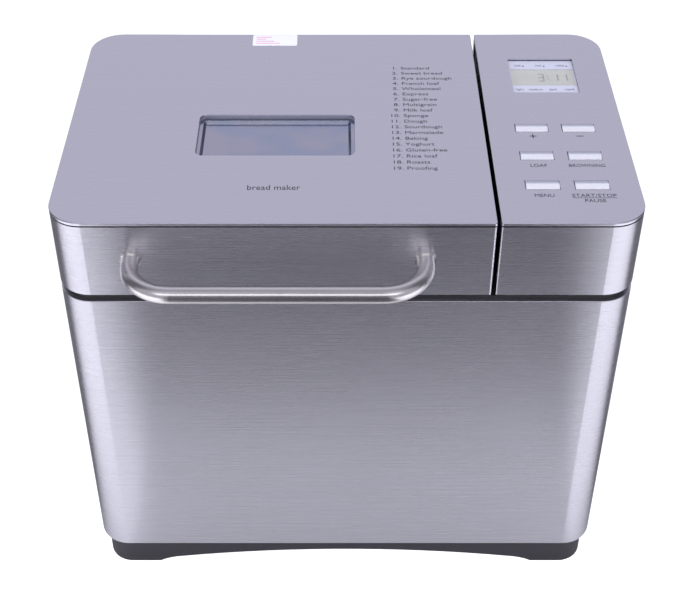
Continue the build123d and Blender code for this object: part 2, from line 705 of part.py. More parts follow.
with BuildPart() as motor_end_bells:
    storey(motor_square, MOTOR_LOW, STATOR_LOW, 0)
    storey(motor_square, MOTOR_LOW + 3, STATOR_LOW, 3.5, mode=Mode.SUBTRACT)
    post(MOTOR_X, CENTRE_Y, 9, MOTOR_LOW, MOTOR_LOW + 8)
    storey(motor_square, STATOR_LOW + STATOR_H, MOTOR_TOP, 0)
    storey(motor_square, STATOR_LOW + STATOR_H, MOTOR_TOP - 3, 3.5, mode=Mode.SUBTRACT)
    post(MOTOR_X, CENTRE_Y, 9, MOTOR_TOP - 8, MOTOR_TOP)
    post(MOTOR_X, CENTRE_Y, BORE_R, MOTOR_LOW - 1, MOTOR_TOP + 1, mode=Mode.SUBTRACT)
    for x, y in MOTOR_BOLTS:
        post(x, y, 2.0, MOTOR_LOW - 1, MOTOR_LOW + 4, mode=Mode.SUBTRACT)
    with Locations((MOTOR_X, CENTRE_Y, MOTOR_TOP)):
        with PolarLocations(22, 8):
            Box(14, 4, 8, mode=Mode.SUBTRACT)
save(motor_end_bells, "motor_end_bells")

# ---------------------------------------------------------------- screws of the fixed body
with BuildPart() as body_screws:
    head_top = TRAY_TOP - TRAY_FLOOR
    for x, y in CHASSIS_SCREWS:
        post(x, y, SCREW_R, head_top - 0.1, TRAY_TOP + 5)
        post(x, y, 3.2, head_top - 2, head_top)
        block(
            (x - 2.4, x + 2.4),
            (y - 0.4, y + 0.4),
            (head_top - 2.1, head_top - 1),
            mode=Mode.SUBTRACT,
        )
    for x, y in MOTOR_BOLTS:
        post(x, y, 2.0, CHASSIS_TOP - CHASSIS_T, MOTOR_LOW + 3)
        post(x, y, 3.6, CHASSIS_TOP - CHASSIS_T - 3, CHASSIS_TOP - CHASSIS_T)
        post(x, y, 3.4, MOTOR_LOW + 3, MOTOR_LOW + 6)
    with Locations(*[(x, PANEL_FACE_Y + 0.9, z) for x, z in PANEL_SCREWS]):
        Cylinder(3.2, 1.8, rotation=(90, 0, 0))
    with Locations(*[(x, PANEL_FACE_Y - 4, z) for x, z in PANEL_SCREWS]):
        Cylinder(SCREW_R, 8, rotation=(90, 0, 0))
    with Locations(*[(x, PANEL_FACE_Y + 1.8, z) for x, z in PANEL_SCREWS]):
        Box(4.6, 1.6, 0.8, mode=Mode.SUBTRACT)
        Box(0.8, 1.6, 4.6, mode=Mode.SUBTRACT)
save(body_screws, "body_screws")

# ---------------------------------------------------------------- electrics
POWER_X = 168.0
POWER_Y = (CENTRE_Y - 62.0, CENTRE_Y + 40.0)
POWER_Z = (136.0, 236.0)
with BuildPart() as power_board:
    block((POWER_X, POWER_X + 1.6), POWER_Y, POWER_Z)
    block((POWER_X - 32, POWER_X), (CENTRE_Y - 54, CENTRE_Y - 16), (150, 184))
    block((POWER_X - 16, POWER_X), (CENTRE_Y - 4, CENTRE_Y + 14), (146, 162))
    block((POWER_X - 12, POWER_X), (CENTRE_Y - 50, CENTRE_Y - 10), (200, 212))
    block((POWER_X - 22, POWER_X), (CENTRE_Y + 2, CENTRE_Y + 6), (176, 206))
    with Locations(
        *[Plane((POWER_X - 11, CENTRE_Y + y, 220), z_dir=(1, 0, 0)) for y in (-44, -26, 24)],
    ):
        Cylinder(6.5, 22)
save(power_board, "power_board")

with BuildPart() as motor_capacitor:
    block((MOTOR_X - 26, MOTOR_X + 10), (CENTRE_Y - 104, CENTRE_Y - 88), (TRAY_TOP, TRAY_TOP + 34))
    fillet(motor_capacitor.edges().filter_by(Axis.Z), 3)
    for x in (MOTOR_X - 16, MOTOR_X):
        block((x - 3, x + 3), (CENTRE_Y - 96.4, CENTRE_Y - 95.6), (TRAY_TOP + 34, TRAY_TOP + 41))
save(motor_capacitor, "motor_capacitor")

# ---------------------------------------------------------------- shared by lid and control unit
KEYS = [
    (name, KEYS_X + (column - 0.5) * KEY_PITCH[0], FRONT_Y + KEYS_FROM_FRONT + (1 - row) * KEY_PITCH[1])
    for name, column, row in (
        ("key_plus", 0, 0),
        ("key_minus", 1, 0),
        ("key_loaf_size", 0, 1),
        ("key_crust", 1, 1),
        ("key_menu", 0, 2),
        ("key_start_stop", 1, 2),
    )
]
DISPLAY_Y = FRONT_Y + DISPLAY_FROM_FRONT
CARD_T = 0.5
CARD_TOP = WEB_LOW + 1.2
CARD_HALF = (DISPLAY_SIZE[0] / 2 + 0.9, DISPLAY_SIZE[1] / 2 + 0.9)
CARD_ROOM = 0.1  # between the card's edge and its pocket
SIDE_FLANGE = 8.0  # width of the bands' folds beside the gap
HANDLE_ENDS = [HANDLE_X - HANDLE_SPAN / 2, HANDLE_X + HANDLE_SPAN / 2]
HANDLE_Z = LID_BOTTOM + LID_H / 2
HANDLE_SCREW_R = 2.5


def band(outline):
    """Folded steel band round an outline, with narrow folds top and bottom."""
    storey(outline, LID_BOTTOM, BAND_TOP, 0, SHEET)
    storey(outline, LID_BOTTOM, LID_BOTTOM + SHEET, 0, SHEET + FLANGE)
    storey(outline, BAND_TOP - SHEET, BAND_TOP, 0, SHEET + FLANGE)


def carcass(outline, floor):
    """Moulded carcass that fills a band from the inside and carries the top plate."""
    storey(outline, floor, BAND_TOP - SHEET, SHEET, SHEET + PLASTIC)
    storey(outline, BAND_TOP - SHEET - 2, BAND_TOP - SHEET, SHEET, LIP + 2)
    storey(outline, BAND_TOP - SHEET - 2, WEB_LOW, LIP, LIP + 2)
    storey(outline, WEB_LOW, WEB_TOP, 1.2)


def top_plate(outline):
    """Steel top plate with a turned-down edge."""
    with BuildPart() as plate:
        storey(outline, TOP - RIM_H, TOP, 0)
        fillet(plate.faces().sort_by(Axis.Z)[-1].outer_wire().edges(), 0.7)
        storey(outline, TOP - RIM_H, TOP - PLATE, PLATE, mode=Mode.SUBTRACT)
    return plate.part


# ---------------------------------------------------------------- control unit
BOARD_TOP = WEB_LOW - 12.5
BOARD_T = 1.6
SWITCH_TOP = BOARD_TOP + 5.0
PLUNGER_TOP = SWITCH_TOP + 1.0

with BuildPart() as control_band:
    band(control_outline)
    block(
        (CONTROL_LEFT - 1, CONTROL_LEFT + SHEET + FLANGE),
        (FRONT_Y + SIDE_FLANGE, BACK_Y - SIDE_FLANGE),
        (LID_BOTTOM - 1, BAND_TOP + 1),
        mode=Mode.SUBTRACT,
    )
save(control_band, "control_band")

with BuildPart() as control_frame:
    carcass(control_outline, LID_BOTTOM + SHEET)
    storey(control_outline, DECK_TOP, LID_BOTTOM + 4, LIP, LIP + 2)
    storey(control_outline, LID_BOTTOM + SHEET, LID_BOTTOM + 4, SHEET, LIP + 2)
    block(
        (KEYS_X - CARD_HALF[0] - CARD_ROOM, KEYS_X + CARD_HALF[0] + CARD_ROOM),
        (DISPLAY_Y - CARD_HALF[1] - CARD_ROOM, DISPLAY_Y + CARD_HALF[1] + CARD_ROOM),
        (WEB_LOW, CARD_TOP),
        mode=Mode.SUBTRACT,
    )
    for x in (CONTROL_LEFT + 12, HALF_W - 12):
        for y in (FRONT_Y + 27, FRONT_Y + 124, FRONT_Y + 202):
            post(x, y, 3, BOARD_TOP, WEB_LOW)
    with Locations((KEYS_X, DISPLAY_Y, WEB_LOW)):
        Box(DISPLAY_SIZE[0], DISPLAY_SIZE[1], 8, mode=Mode.SUBTRACT)
    for name, x, y in KEYS:
        with Locations((x, y, WEB_LOW)):
            Box(KEY_SIZE[0] + 2 * KEY_GAP, KEY_SIZE[1] + 2 * KEY_GAP, 8, mode=Mode.SUBTRACT)
save(control_frame, "control_frame")

with BuildPart() as control_top_plate:
    add(top_plate(control_outline))
    with Locations((KEYS_X, DISPLAY_Y, TOP)):
        Box(DISPLAY_SIZE[0], DISPLAY_SIZE[1], 8, mode=Mode.SUBTRACT)
    with Locations(*[(x, y, TOP) for name, x, y in KEYS]):
        Box(KEY_SIZE[0] + 2 * KEY_GAP, KEY_SIZE[1] + 2 * KEY_GAP, 8, mode=Mode.SUBTRACT)
save(control_top_plate, "control_top_plate")

LCD_SIZE = (DISPLAY_SIZE[0] + 2, 22.0)
LCD_SHIFT = 0.4  # the glass sits this far behind the opening's middle
GLASS_T = 3.1
with BuildPart() as display_card:
    block(
        (KEYS_X - CARD_HALF[0], KEYS_X + CARD_HALF[0]),
        (DISPLAY_Y - CARD_HALF[1], DISPLAY_Y + CARD_HALF[1]),
        (CARD_TOP - CARD_T, CARD_TOP),
    )
    with Locations((KEYS_X, DISPLAY_Y + LCD_SHIFT, CARD_TOP)):
        Box(DISPLAY_SIZE[0] - 1.6, LCD_SIZE[1], 4, mode=Mode.SUBTRACT)
save(display_card, "display_card")

with BuildPart() as display_module:
    block(
        (KEYS_X - 23.4, KEYS_X + 23.4),
        (DISPLAY_Y - 23, DISPLAY_Y + 23),
        (BOARD_TOP, CARD_TOP - CARD_T - GLASS_T),
    )
    with Locations((KEYS_X, DISPLAY_Y + LCD_SHIFT, CARD_TOP - CARD_T - GLASS_T / 2)):
        Box(DISPLAY_SIZE[0] - 0.6, LCD_SIZE[1] + 4, GLASS_T)
save(display_module, "display_module")

with BuildPart() as control_board:
    block(
        (CONTROL_LEFT + 7, HALF_W - 7),
        (FRONT_Y + 22, FRONT_Y + 207),
        (BOARD_TOP - BOARD_T, BOARD_TOP),
    )
    block(
        (KEYS_X - 12, KEYS_X + 12),
        (FRONT_Y + 60, FRONT_Y + 84),
        (BOARD_TOP - BOARD_T - 3, BOARD_TOP - BOARD_T),
    )
    with Locations((KEYS_X - 16, FRONT_Y + 150, BOARD_TOP - BOARD_T - 5)):
        Cylinder(6, 10)
    block(
        (KEYS_X + 4, KEYS_X + 30),
        (FRONT_Y + 140, FRONT_Y + 148),
        (BOARD_TOP - BOARD_T - 8, BOARD_TOP - BOARD_T),
    )
save(control_board, "control_board")

with BuildPart() as key_switches:
    for name, x, y in KEYS:
        block((x - 3, x + 3), (y - 3, y + 3), (BOARD_TOP, SWITCH_TOP))
        post(x, y, 1.75, SWITCH_TOP, PLUNGER_TOP)
save(key_switches, "key_switches")


def key_cap(x, y):
    """Key with a ridged top, a catch under the carcass and a stem over its switch."""
    half_w, half_d = KEY_SIZE[0] / 2, KEY_SIZE[1] / 2
    with BuildPart() as cap:
        with BuildSketch(Plane.YZ.offset(x - half_w)):
            with BuildLine():
                crown = TOP + 1.2
                Polyline(
                    (y - half_d, WEB_LOW - 2.2),
                    (y - half_d, crown - 0.9),
                    (y - 0.4, crown),
                    (y + 0.4, crown),
                    (y + half_d, crown - 0.9),
                    (y + half_d, WEB_LOW - 2.2),
                    close=True,
                )
            make_face()
        extrude(amount=KEY_SIZE[0])
        upper = cap.edges().filter_by(lambda edge: edge.center().Z > TOP)
        fillet(upper, 0.35)
        block(
            (x - half_w - 1.2, x + half_w + 1.2),
            (y - half_d - 1.2, y + half_d + 1.2),
            (WEB_LOW - 2.2, WEB_LOW - 1),
        )
        post(x, y, 2.2, PLUNGER_TOP + KEY_TRAVEL + 0.2, WEB_LOW - 2)
    return cap


for name, x, y in KEYS:
    save(key_cap(x, y), name)

# ---------------------------------------------------------------- lid
LINER_FLANGE = 3.3
DOME_GROW = 6.0
DOME_TAPER = 28.0
DOME_CEILING = TOP - 24.3
LINER_LOW = LID_BOTTOM + SHEET
LUG_SLOT = LUG_W + 2
LINER_BACK = NOTCH_Y - PLASTIC
GLASS_Z = DOME_CEILING + SHEET
PANE_LOW = WEB_LOW - 4.5


def cut_rear_notch():
    """Cut away the lid's lower rear edge, and the slots that the hinge lugs pass through."""
    block(
        (-HALF_W - 1, LID_RIGHT + 1),
        (NOTCH_Y, BACK_Y + 1),
        (LID_BOTTOM - 1, NOTCH_Z),
        mode=Mode.SUBTRACT,
    )
    for hinge_x in HINGE_X:
        block(
            (hinge_x - LUG_SLOT / 2, hinge_x + LUG_SLOT / 2),
            (NOTCH_Y, BACK_Y + 1),
            (NOTCH_Z - 1, HINGE_Z + 6),
            mode=Mode.SUBTRACT,
        )


with BuildPart() as lid_band:
    band(lid_outline)
    block(
        (LID_RIGHT - SHEET - FLANGE, LID_RIGHT + 1),
        (FRONT_Y + SIDE_FLANGE, BACK_Y - SIDE_FLANGE),
        (LID_BOTTOM - 1, BAND_TOP + 1),
        mode=Mode.SUBTRACT,
    )
    cut_rear_notch()
    with Locations(*[(x, FRONT_Y, HANDLE_Z) for x in HANDLE_ENDS]):
        Cylinder(HANDLE_SCREW_R, 8, rotation=(90, 0, 0), mode=Mode.SUBTRACT)
save(lid_band, "lid_band")

with BuildPart() as lid_frame:
    carcass(lid_outline, LINER_LOW)
    storey(window_outline, WEB_LOW - 1, WEB_TOP + 1, 0, mode=Mode.SUBTRACT)
    cut_rear_notch()
    block((-HALF_W + 6, LID_RIGHT - 2), (NOTCH_Y - PLASTIC, NOTCH_Y), (LINER_LOW, WEB_LOW))
    for x in HANDLE_ENDS:
        block((x - 8, x + 8), (FRONT_Y + SHEET, FRONT_Y + 6), (HANDLE_Z - 8, HANDLE_Z + 8))
    with Locations(*[(x, FRONT_Y + 4, HANDLE_Z) for x in HANDLE_ENDS]):
        Cylinder(HANDLE_SCREW_R, 10, rotation=(90, 0, 0), mode=Mode.SUBTRACT)
save(lid_frame, "lid_frame")

with BuildPart() as lid_top_plate:
    add(top_plate(lid_outline))
    storey(window_outline, TOP - 4, TOP + 1, 0, mode=Mode.SUBTRACT)
save(lid_top_plate, "lid_top_plate")


def dome(grow, low):
    """Inside of the lid over the oven: a tapered pressing, moved out by grow."""
    with BuildPart() as space:
        with BuildSketch(Plane.XY.offset(low)):
            add(chamber_outline(DOME_GROW + grow))
        extrude(amount=DOME_CEILING - LINER_LOW, taper=DOME_TAPER)
    return space.part


dome_outside = dome(0, LINER_LOW + SHEET)
dome_inside = dome(0, LINER_LOW)
with BuildPart() as lid_liner:
    storey(lid_outline, LINER_LOW, LINER_LOW + SHEET, LINER_FLANGE)
    block(
        (-HALF_W, LID_RIGHT),
        (LINER_BACK - 0.2, BACK_Y),
        (LINER_LOW - 1, LINER_LOW + 2),
        mode=Mode.SUBTRACT,
    )
    add(dome_outside)
    add(dome_inside, mode=Mode.SUBTRACT)
    storey(window_outline, DOME_CEILING - 2, GLASS_Z + 1, 0, mode=Mode.SUBTRACT)
save(lid_liner, "lid_liner")

with BuildPart() as lid_seal:
    storey(chamber_outline, DECK_TOP + CLEAR, LINER_LOW, DOME_GROW + 4, DOME_GROW + 0.5)
    fillet(lid_seal.edges().group_by(Axis.Z)[0], 1)
save(lid_seal, "lid_seal")

with BuildPart() as window_gasket:
    storey(window_outline, GLASS_Z, GLASS_Z + 1.2, 6, 0.5)
save(window_gasket, "window_gasket")

with BuildPart() as window_inner_glass:
    storey(window_outline, GLASS_Z + 1.2, GLASS_Z + 4.2, 5)
save(window_inner_glass, "window_inner_glass")

with BuildPart() as window_duct:
    storey(window_outline, GLASS_Z + 4.2, PANE_LOW, 5, 1)
save(window_duct, "window_duct")

with BuildPart() as window_outer_pane:
    storey(window_outline, PANE_LOW, WEB_LOW, 4.5)
    with BuildSketch(Plane.XY.offset(WEB_LOW)) as bevel:
        add(window_outline(-2.5))
    extrude(bevel.sketch, amount=-2.0, taper=40, mode=Mode.SUBTRACT)
save(window_outer_pane, "window_outer_pane")

with BuildPart() as hinge_leaves:
    for hinge_x in HINGE_X:
        block((hinge_x - 15, hinge_x + 15), (NOTCH_Y, NOTCH_Y + 1.4), (HOUSING_TOP + 1.2, HINGE_Z + 12))
    with Locations(*[hinge_axis(hinge_x) for hinge_x in HINGE_X]):
        Cylinder(5, 30)
    for hinge_x in HINGE_X:
        block(
            (hinge_x - LUG_W / 2 - 0.4, hinge_x + LUG_W / 2 + 0.4),
            (NOTCH_Y + 1.4, BACK_Y),
            (HOUSING_TOP, HINGE_Z + 14),
            mode=Mode.SUBTRACT,
        )
    with Locations(*[hinge_axis(hinge_x) for hinge_x in HINGE_X]):
        Cylinder(HINGE_PIN_R, 32, mode=Mode.SUBTRACT)
save(hinge_leaves, "hinge_leaves")

with BuildPart() as hinge_pins:
    with Locations(*[hinge_axis(hinge_x) for hinge_x in HINGE_X]):
        Cylinder(HINGE_PIN_R, 31)
save(hinge_pins, "hinge_pins")

with BuildPart() as handle_tube:
    with BuildLine() as handle_path:
        FilletPolyline(
            (HANDLE_ENDS[0], FRONT_Y, HANDLE_Z),
            (HANDLE_ENDS[0], FRONT_Y - HANDLE_STANDOFF, HANDLE_Z),
            (HANDLE_ENDS[1], FRONT_Y - HANDLE_STANDOFF, HANDLE_Z),
            (HANDLE_ENDS[1], FRONT_Y, HANDLE_Z),
            radius=HANDLE_BEND_R,
        )
    with BuildSketch(Plane((HANDLE_ENDS[0], FRONT_Y, HANDLE_Z), z_dir=(0, -1, 0))):
        Circle(HANDLE_R)
        Circle(HANDLE_R - 1.2, mode=Mode.SUBTRACT)
    sweep(path=handle_path.line)
    with Locations(*[(x, FRONT_Y - 3, HANDLE_Z) for x in HANDLE_ENDS]):
        Cylinder(HANDLE_R - 0.6, 6, rotation=(90, 0, 0))
    with Locations(*[(x, FRONT_Y - 0.7, HANDLE_Z) for x in HANDLE_ENDS]):
        Cylinder(HANDLE_R + 1.0, 1.4, rotation=(90, 0, 0))
    with Locations(*[(x, FRONT_Y - 3, HANDLE_Z) for x in HANDLE_ENDS]):
        Cylinder(HANDLE_SCREW_R, 8, rotation=(90, 0, 0), mode=Mode.SUBTRACT)
save(handle_tube, "handle_tube")

with BuildPart() as handle_screws:
    with Locations(*[(x, FRONT_Y + 0.5, HANDLE_Z) for x in HANDLE_ENDS]):
        Cylinder(HANDLE_SCREW_R, 11, rotation=(90, 0, 0))
    with Locations(*[(x, FRONT_Y + 7.5, HANDLE_Z) for x in HANDLE_ENDS]):
        Cylinder(4.5, 3, rotation=(90, 0, 0))
    with Locations(*[(x, FRONT_Y + 9, HANDLE_Z) for x in HANDLE_ENDS]):
        Box(6, 2, 1, mode=Mode.SUBTRACT)
save(handle_screws, "handle_screws")

# ---------------------------------------------------------------- bread pan
PAN_R = 22.0
PAN_EDGE_R = 9.0
RING_LOW = CHAMBER_FLOOR + 4.0
PAN_HOLE_R = 8.0
PADDLE_LOW = PAN_FLOOR + PAN_WALL + 13.1
COUPLING_TOP = PAN_FLOOR - 1.4
EAR_T = 1.6
EAR_FOOT_TOP = PAN_RIM - 8.0


def pan_body(inset, floor):
    """Tapered pan with a rounded bottom edge, moved in by inset, from floor to just past its rim."""
    grow = (floor - PAN_FLOOR) * math.tan(math.radians(PAN_TAPER)) - inset
    with BuildPart() as body:
        with BuildSketch(Plane.XY.offset(floor)):
            with Locations((LID_X, CENTRE_Y)):
                RectangleRounded(PAN_FOOT[0] + 2 * grow, PAN_FOOT[1] + 2 * grow, PAN_R + grow)
        extrude(amount=PAN_RIM - floor + inset, taper=-PAN_TAPER)
        fillet(body.edges().group_by(Axis.Z)[0], PAN_EDGE_R - inset)
    return body.part


PAN_GROWTH = PAN_H * math.tan(math.radians(PAN_TAPER))
RIM_HALF = (PAN_FOOT[0] / 2 + PAN_GROWTH, PAN_FOOT[1] / 2 + PAN_GROWTH)
RIM_W = 4.0
pan_outside = pan_body(0, PAN_FLOOR)
pan_inside = pan_body(PAN_WALL, PAN_FLOOR + PAN_WALL)
with BuildPart() as bread_pan:
    with BuildSketch(Plane.XY.offset(PAN_RIM - 3)):
        with Locations((LID_X, CENTRE_Y)):
            RectangleRounded(
                2 * (RIM_HALF[0] + RIM_W),
                2 * (RIM_HALF[1] + RIM_W),
                PAN_R + PAN_GROWTH + RIM_W,
            )
    extrude(amount=3)
    fillet(bread_pan.edges().filter_by(Axis.Z, reverse=True), 1.4)
    add(pan_outside)
    turned(
        LID_X,
        CENTRE_Y,
        [
            (RING_R - RING_T, RING_LOW),
            (RING_R, RING_LOW),
            (RING_R, PAN_FLOOR + 1),
            (RING_R - RING_T, PAN_FLOOR + 1),
        ],
    )
    add(pan_inside, mode=Mode.SUBTRACT)
    post(LID_X, CENTRE_Y, PAN_HOLE_R, PAN_FLOOR - 2, PAN_FLOOR + 4, mode=Mode.SUBTRACT)
save(bread_pan, "bread_pan")

with BuildPart() as pan_bush:
    turned(
        LID_X,
        CENTRE_Y,
        [
            (BORE_R, PAN_FLOOR - 1),
            (13, PAN_FLOOR - 1),
            (13, PAN_FLOOR),
            (PAN_HOLE_R, PAN_FLOOR),
            (PAN_HOLE_R, PAN_FLOOR + PAN_WALL),
            (13, PAN_FLOOR + PAN_WALL),
            (10, PAN_FLOOR + PAN_WALL + 12),
            (BORE_R, PAN_FLOOR + PAN_WALL + 12),
        ],
    )
save(pan_bush, "pan_bush")

EAR_FOOT_X = PAN_FOOT[0] / 2 + (EAR_FOOT_TOP - PAN_FLOOR) * math.tan(math.radians(PAN_TAPER)) + 0.02
with BuildPart() as pan_ears:
    for side in (-1, 1):
        wall_x = LID_X + side * EAR_FOOT_X
        ear_in = LID_X + side * (EAR_X - EAR_T / 2)
        ear_out = LID_X + side * (EAR_X + EAR_T / 2)
        block(sorted((ear_in, ear_out)), (CENTRE_Y - 8, CENTRE_Y + 8), (PAN_RIM - 24, BAIL_Z))
        block(sorted((wall_x, ear_in)), (CENTRE_Y - 8, CENTRE_Y + 8), (PAN_RIM - 22, EAR_FOOT_TOP))
    with Locations(
        *[Plane((LID_X + side * EAR_X, CENTRE_Y, BAIL_Z), z_dir=(1, 0, 0)) for side in (-1, 1)],
    ):
        Cylinder(8, EAR_T)
        Cylinder(BAIL_WIRE_R + RUNNING, EAR_T + 2, mode=Mode.SUBTRACT)
save(pan_ears, "pan_ears")

BAIL_ARM_X = EAR_X - 7.0
BAIL_END_X = EAR_X + 3.5
BAIL_DROP = BAIL_Z - (PAN_RIM + BAIL_WIRE_R + CLEAR)
BAIL_REACH_Y = math.sqrt(BAIL_REACH**2 - BAIL_DROP**2)
BAIL_BEND_R = 6.0
with BuildPart() as pan_bail:
    front = (CENTRE_Y - BAIL_REACH_Y, BAIL_Z - BAIL_DROP)
    with BuildLine() as bail_path:
        FilletPolyline(
            (LID_X - BAIL_END_X, CENTRE_Y, BAIL_Z),
            (LID_X - BAIL_ARM_X, CENTRE_Y, BAIL_Z),
            (LID_X - BAIL_ARM_X, *front),
            (LID_X + BAIL_ARM_X, *front),
            (LID_X + BAIL_ARM_X, CENTRE_Y, BAIL_Z),
            (LID_X + BAIL_END_X, CENTRE_Y, BAIL_Z),
            radius=BAIL_BEND_R - 2,
        )
    with BuildSketch(Plane((LID_X - BAIL_END_X, CENTRE_Y, BAIL_Z), z_dir=(1, 0, 0))):
        Circle(BAIL_WIRE_R)
    sweep(path=bail_path.line)
save(pan_bail, "pan_bail")

with BuildPart() as pan_shaft:
    post(LID_X, CENTRE_Y, SHAFT_R, SHAFT_TOP + 1, PADDLE_LOW + 18)
    chamfer(pan_shaft.edges(), 0.5)
save(pan_shaft, "pan_shaft")

with BuildPart() as pan_coupling:
    turned(
        LID_X,
        CENTRE_Y,
        [
            (SHAFT_R, DOG_TOP + 0.6),
            (15, DOG_TOP + 0.6),
            (15, COUPLING_TOP - 1),
            (12, COUPLING_TOP),
            (SHAFT_R, COUPLING_TOP),
        ],
    )
    with Locations((LID_X, CENTRE_Y, (DOG_LOW + 0.4 + DOG_TOP + 1) / 2)):
        with PolarLocations(11, 2, start_angle=90):
            Box(7, 8, DOG_TOP + 1 - DOG_LOW - 0.4)
save(pan_coupling, "pan_coupling")

PADDLE_H = 22.0
PADDLE_REACH = 38.0
with BuildPart() as kneading_paddle:
    post(LID_X, CENTRE_Y, 10, PADDLE_LOW, PADDLE_LOW + PADDLE_H)
    with BuildSketch(Plane.XZ.offset(-CENTRE_Y)):
        with BuildLine():
            Polyline((LID_X, PADDLE_LOW + 2), (LID_X + PADDLE_REACH - 6, PADDLE_LOW + 0.5))
            ThreePointArc(
                (LID_X + PADDLE_REACH - 6, PADDLE_LOW + 0.5),
                (LID_X + PADDLE_REACH, PADDLE_LOW + 9),
                (LID_X + PADDLE_REACH - 10, PADDLE_LOW + 24),
            )
            Spline(
                (LID_X + PADDLE_REACH - 10, PADDLE_LOW + 24),
                (LID_X + 16, PADDLE_LOW + 19),
                (LID_X, PADDLE_LOW + 21),
            )
            Line((LID_X, PADDLE_LOW + 21), (LID_X, PADDLE_LOW + 2))
        make_face()
    extrude(amount=2.2, both=True)
    post(LID_X, CENTRE_Y, BORE_R, PADDLE_LOW - 1, PADDLE_LOW + 18.2, mode=Mode.SUBTRACT)
save(kneading_paddle, "kneading_paddle")
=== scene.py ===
"""Bread machine: finishes, printing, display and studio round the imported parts."""

import math

import bmesh
import bpy
from bpy.props import FloatProperty, FloatVectorProperty, PointerProperty, StringProperty
from mathutils import Matrix, Vector


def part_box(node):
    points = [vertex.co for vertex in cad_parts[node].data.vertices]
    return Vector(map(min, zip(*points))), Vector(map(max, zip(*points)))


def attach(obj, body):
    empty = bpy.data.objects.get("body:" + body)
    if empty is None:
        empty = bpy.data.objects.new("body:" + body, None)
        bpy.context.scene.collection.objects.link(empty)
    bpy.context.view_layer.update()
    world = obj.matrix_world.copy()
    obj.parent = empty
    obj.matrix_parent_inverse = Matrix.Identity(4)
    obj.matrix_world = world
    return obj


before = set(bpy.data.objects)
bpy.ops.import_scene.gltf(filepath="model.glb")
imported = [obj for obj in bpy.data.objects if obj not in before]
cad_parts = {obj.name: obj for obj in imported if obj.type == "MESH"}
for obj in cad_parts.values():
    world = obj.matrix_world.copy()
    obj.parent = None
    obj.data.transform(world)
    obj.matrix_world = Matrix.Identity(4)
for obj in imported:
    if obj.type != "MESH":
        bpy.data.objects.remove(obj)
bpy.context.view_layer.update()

bl_info = {
    "name": "Bread Machine Finisher",
    "version": (1, 0, 0),
    "blender": (4, 5, 0),
    "location": "View3D > Sidebar > Bread Machine",
    "description": "Gives a packed bread machine its finishes, its printing and a studio",
    "category": "Object",
}

MM = 0.001
# Soft clouds in the tone of brushed steel, in metres
CLOUD_SIZE = 1 / 9
PLATE_LOW, PLATE_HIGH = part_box("lid_top_plate")
_, PANEL_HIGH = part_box("control_top_plate")
CARD_LOW, CARD_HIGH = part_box("display_card")
MODULE_LOW, MODULE_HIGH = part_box("display_module")
INK_DEPTH = 0.03 * MM
INK_GAP = 0.01 * MM
INK_MIDDLE = INK_GAP + INK_DEPTH / 2

# Programme list: first baseline from the plate's front, edge of the numbers from its right side
LIST_FIRST_LINE = 178.3 * MM
LIST_EDGE = 54.4 * MM
LIST_GAP = 1.8 * MM
NUMBER_STRETCH = 1.22
WORD_STRETCH = 1.15
# Product line: letter size, width, and its place from the plate's front and middle
PRODUCT_SIZE = 7.4 * MM
PRODUCT_WIDTH = 33 * MM
PRODUCT_FRONT = 34.5 * MM
PRODUCT_SHIFT = 0.4 * MM
# Printing under the keys: distances from a key's front edge, and the strokes of signs and rule
LABEL_DROP = 6.8 * MM
LABEL_PITCH = 5.4 * MM
RULE_DROP = 7.7 * MM
SIGN_DROP = 3.9 * MM
SIGN_LENGTH = 4.6 * MM
SIGN_STROKE = 0.75 * MM
SIGN_ARM = 1.9 * MM
SIGN_REACH = 1.35 * MM
SIGN_ROUND = 0.1 * MM
RULE_STROKE = 0.35 * MM
RULE_ROUND = 0.05 * MM
# Display: baselines on the card, digit centres as shares of its width, and their shift to the rear
REAR_WORDS_DROP = 8.6 * MM
FRONT_WORDS_RISE = 6.6 * MM
DIGIT_CENTRES = (0.47, 0.575, 0.68, 0.815)
DIGIT_SHIFT = 0.6 * MM
COLON_DOT = 1.1 * MM
COLON_HALF = 2.0 * MM
# Sticker: its middle from the plate's left and front, its size, and its bars
STICKER_LEFT = 131.5 * MM
STICKER_FRONT = 219 * MM
STICKER_SIZE = (32 * MM, 15.5 * MM)
STICKER_DEPTH = 0.08 * MM
STICKER_GAP = 0.005 * MM
BAR_LENGTHS = (11 * MM, 7 * MM, 13 * MM, 17 * MM)
BAR_STROKE = 0.9 * MM
BAR_PITCH = 2.9 * MM
BARS_LEFT = 13.5 * MM
BARS_REAR = 4.3 * MM

PROGRAMS = (
    "Standard",
    "Sweet bread",
    "Rye sourdough",
    "French loaf",
    "Wholemeal",
    "Express",
    "Sugar-free",
    "Multigrain",
    "Milk loaf",
    "Sponge",
    "Dough",
    "Sourdough",
    "Marmalade",
    "Baking",
    "Yoghurt",
    "Gluten-free",
    "Rice loaf",
    "Roasts",
    "Proofing",
)
KEY_LABELS = {
    "key_plus": ("+",),
    "key_minus": ("-",),
    "key_loaf_size": ("LOAF",),
    "key_crust": ("BROWNING",),
    "key_menu": ("MENU",),
    "key_start_stop": ("START/STOP", "PAUSE"),
}
LABEL_WIDTHS = {
    "LOAF": 10.5 * MM,
    "BROWNING": 23 * MM,
    "MENU": 12.2 * MM,
    "START/STOP": 27.5 * MM,
    "PAUSE": 13 * MM,
}
# One key of each row
KEY_ROWS = ("key_plus", "key_loaf_size", "key_menu")
# Words on the display card, each with its centre as a share of the card's width
REAR_WORDS = (("500 g", 0.18), ("750 g", 0.49), ("1000 g", 0.81))
FRONT_WORDS = (("light", 0.13), ("medium", 0.36), ("dark", 0.61), ("rapid", 0.85))
# Lit bars of each figure, by the letters of BREAD_OT_display.bars
LIT_BARS = {"1": "bc", "3": "abcdg"}

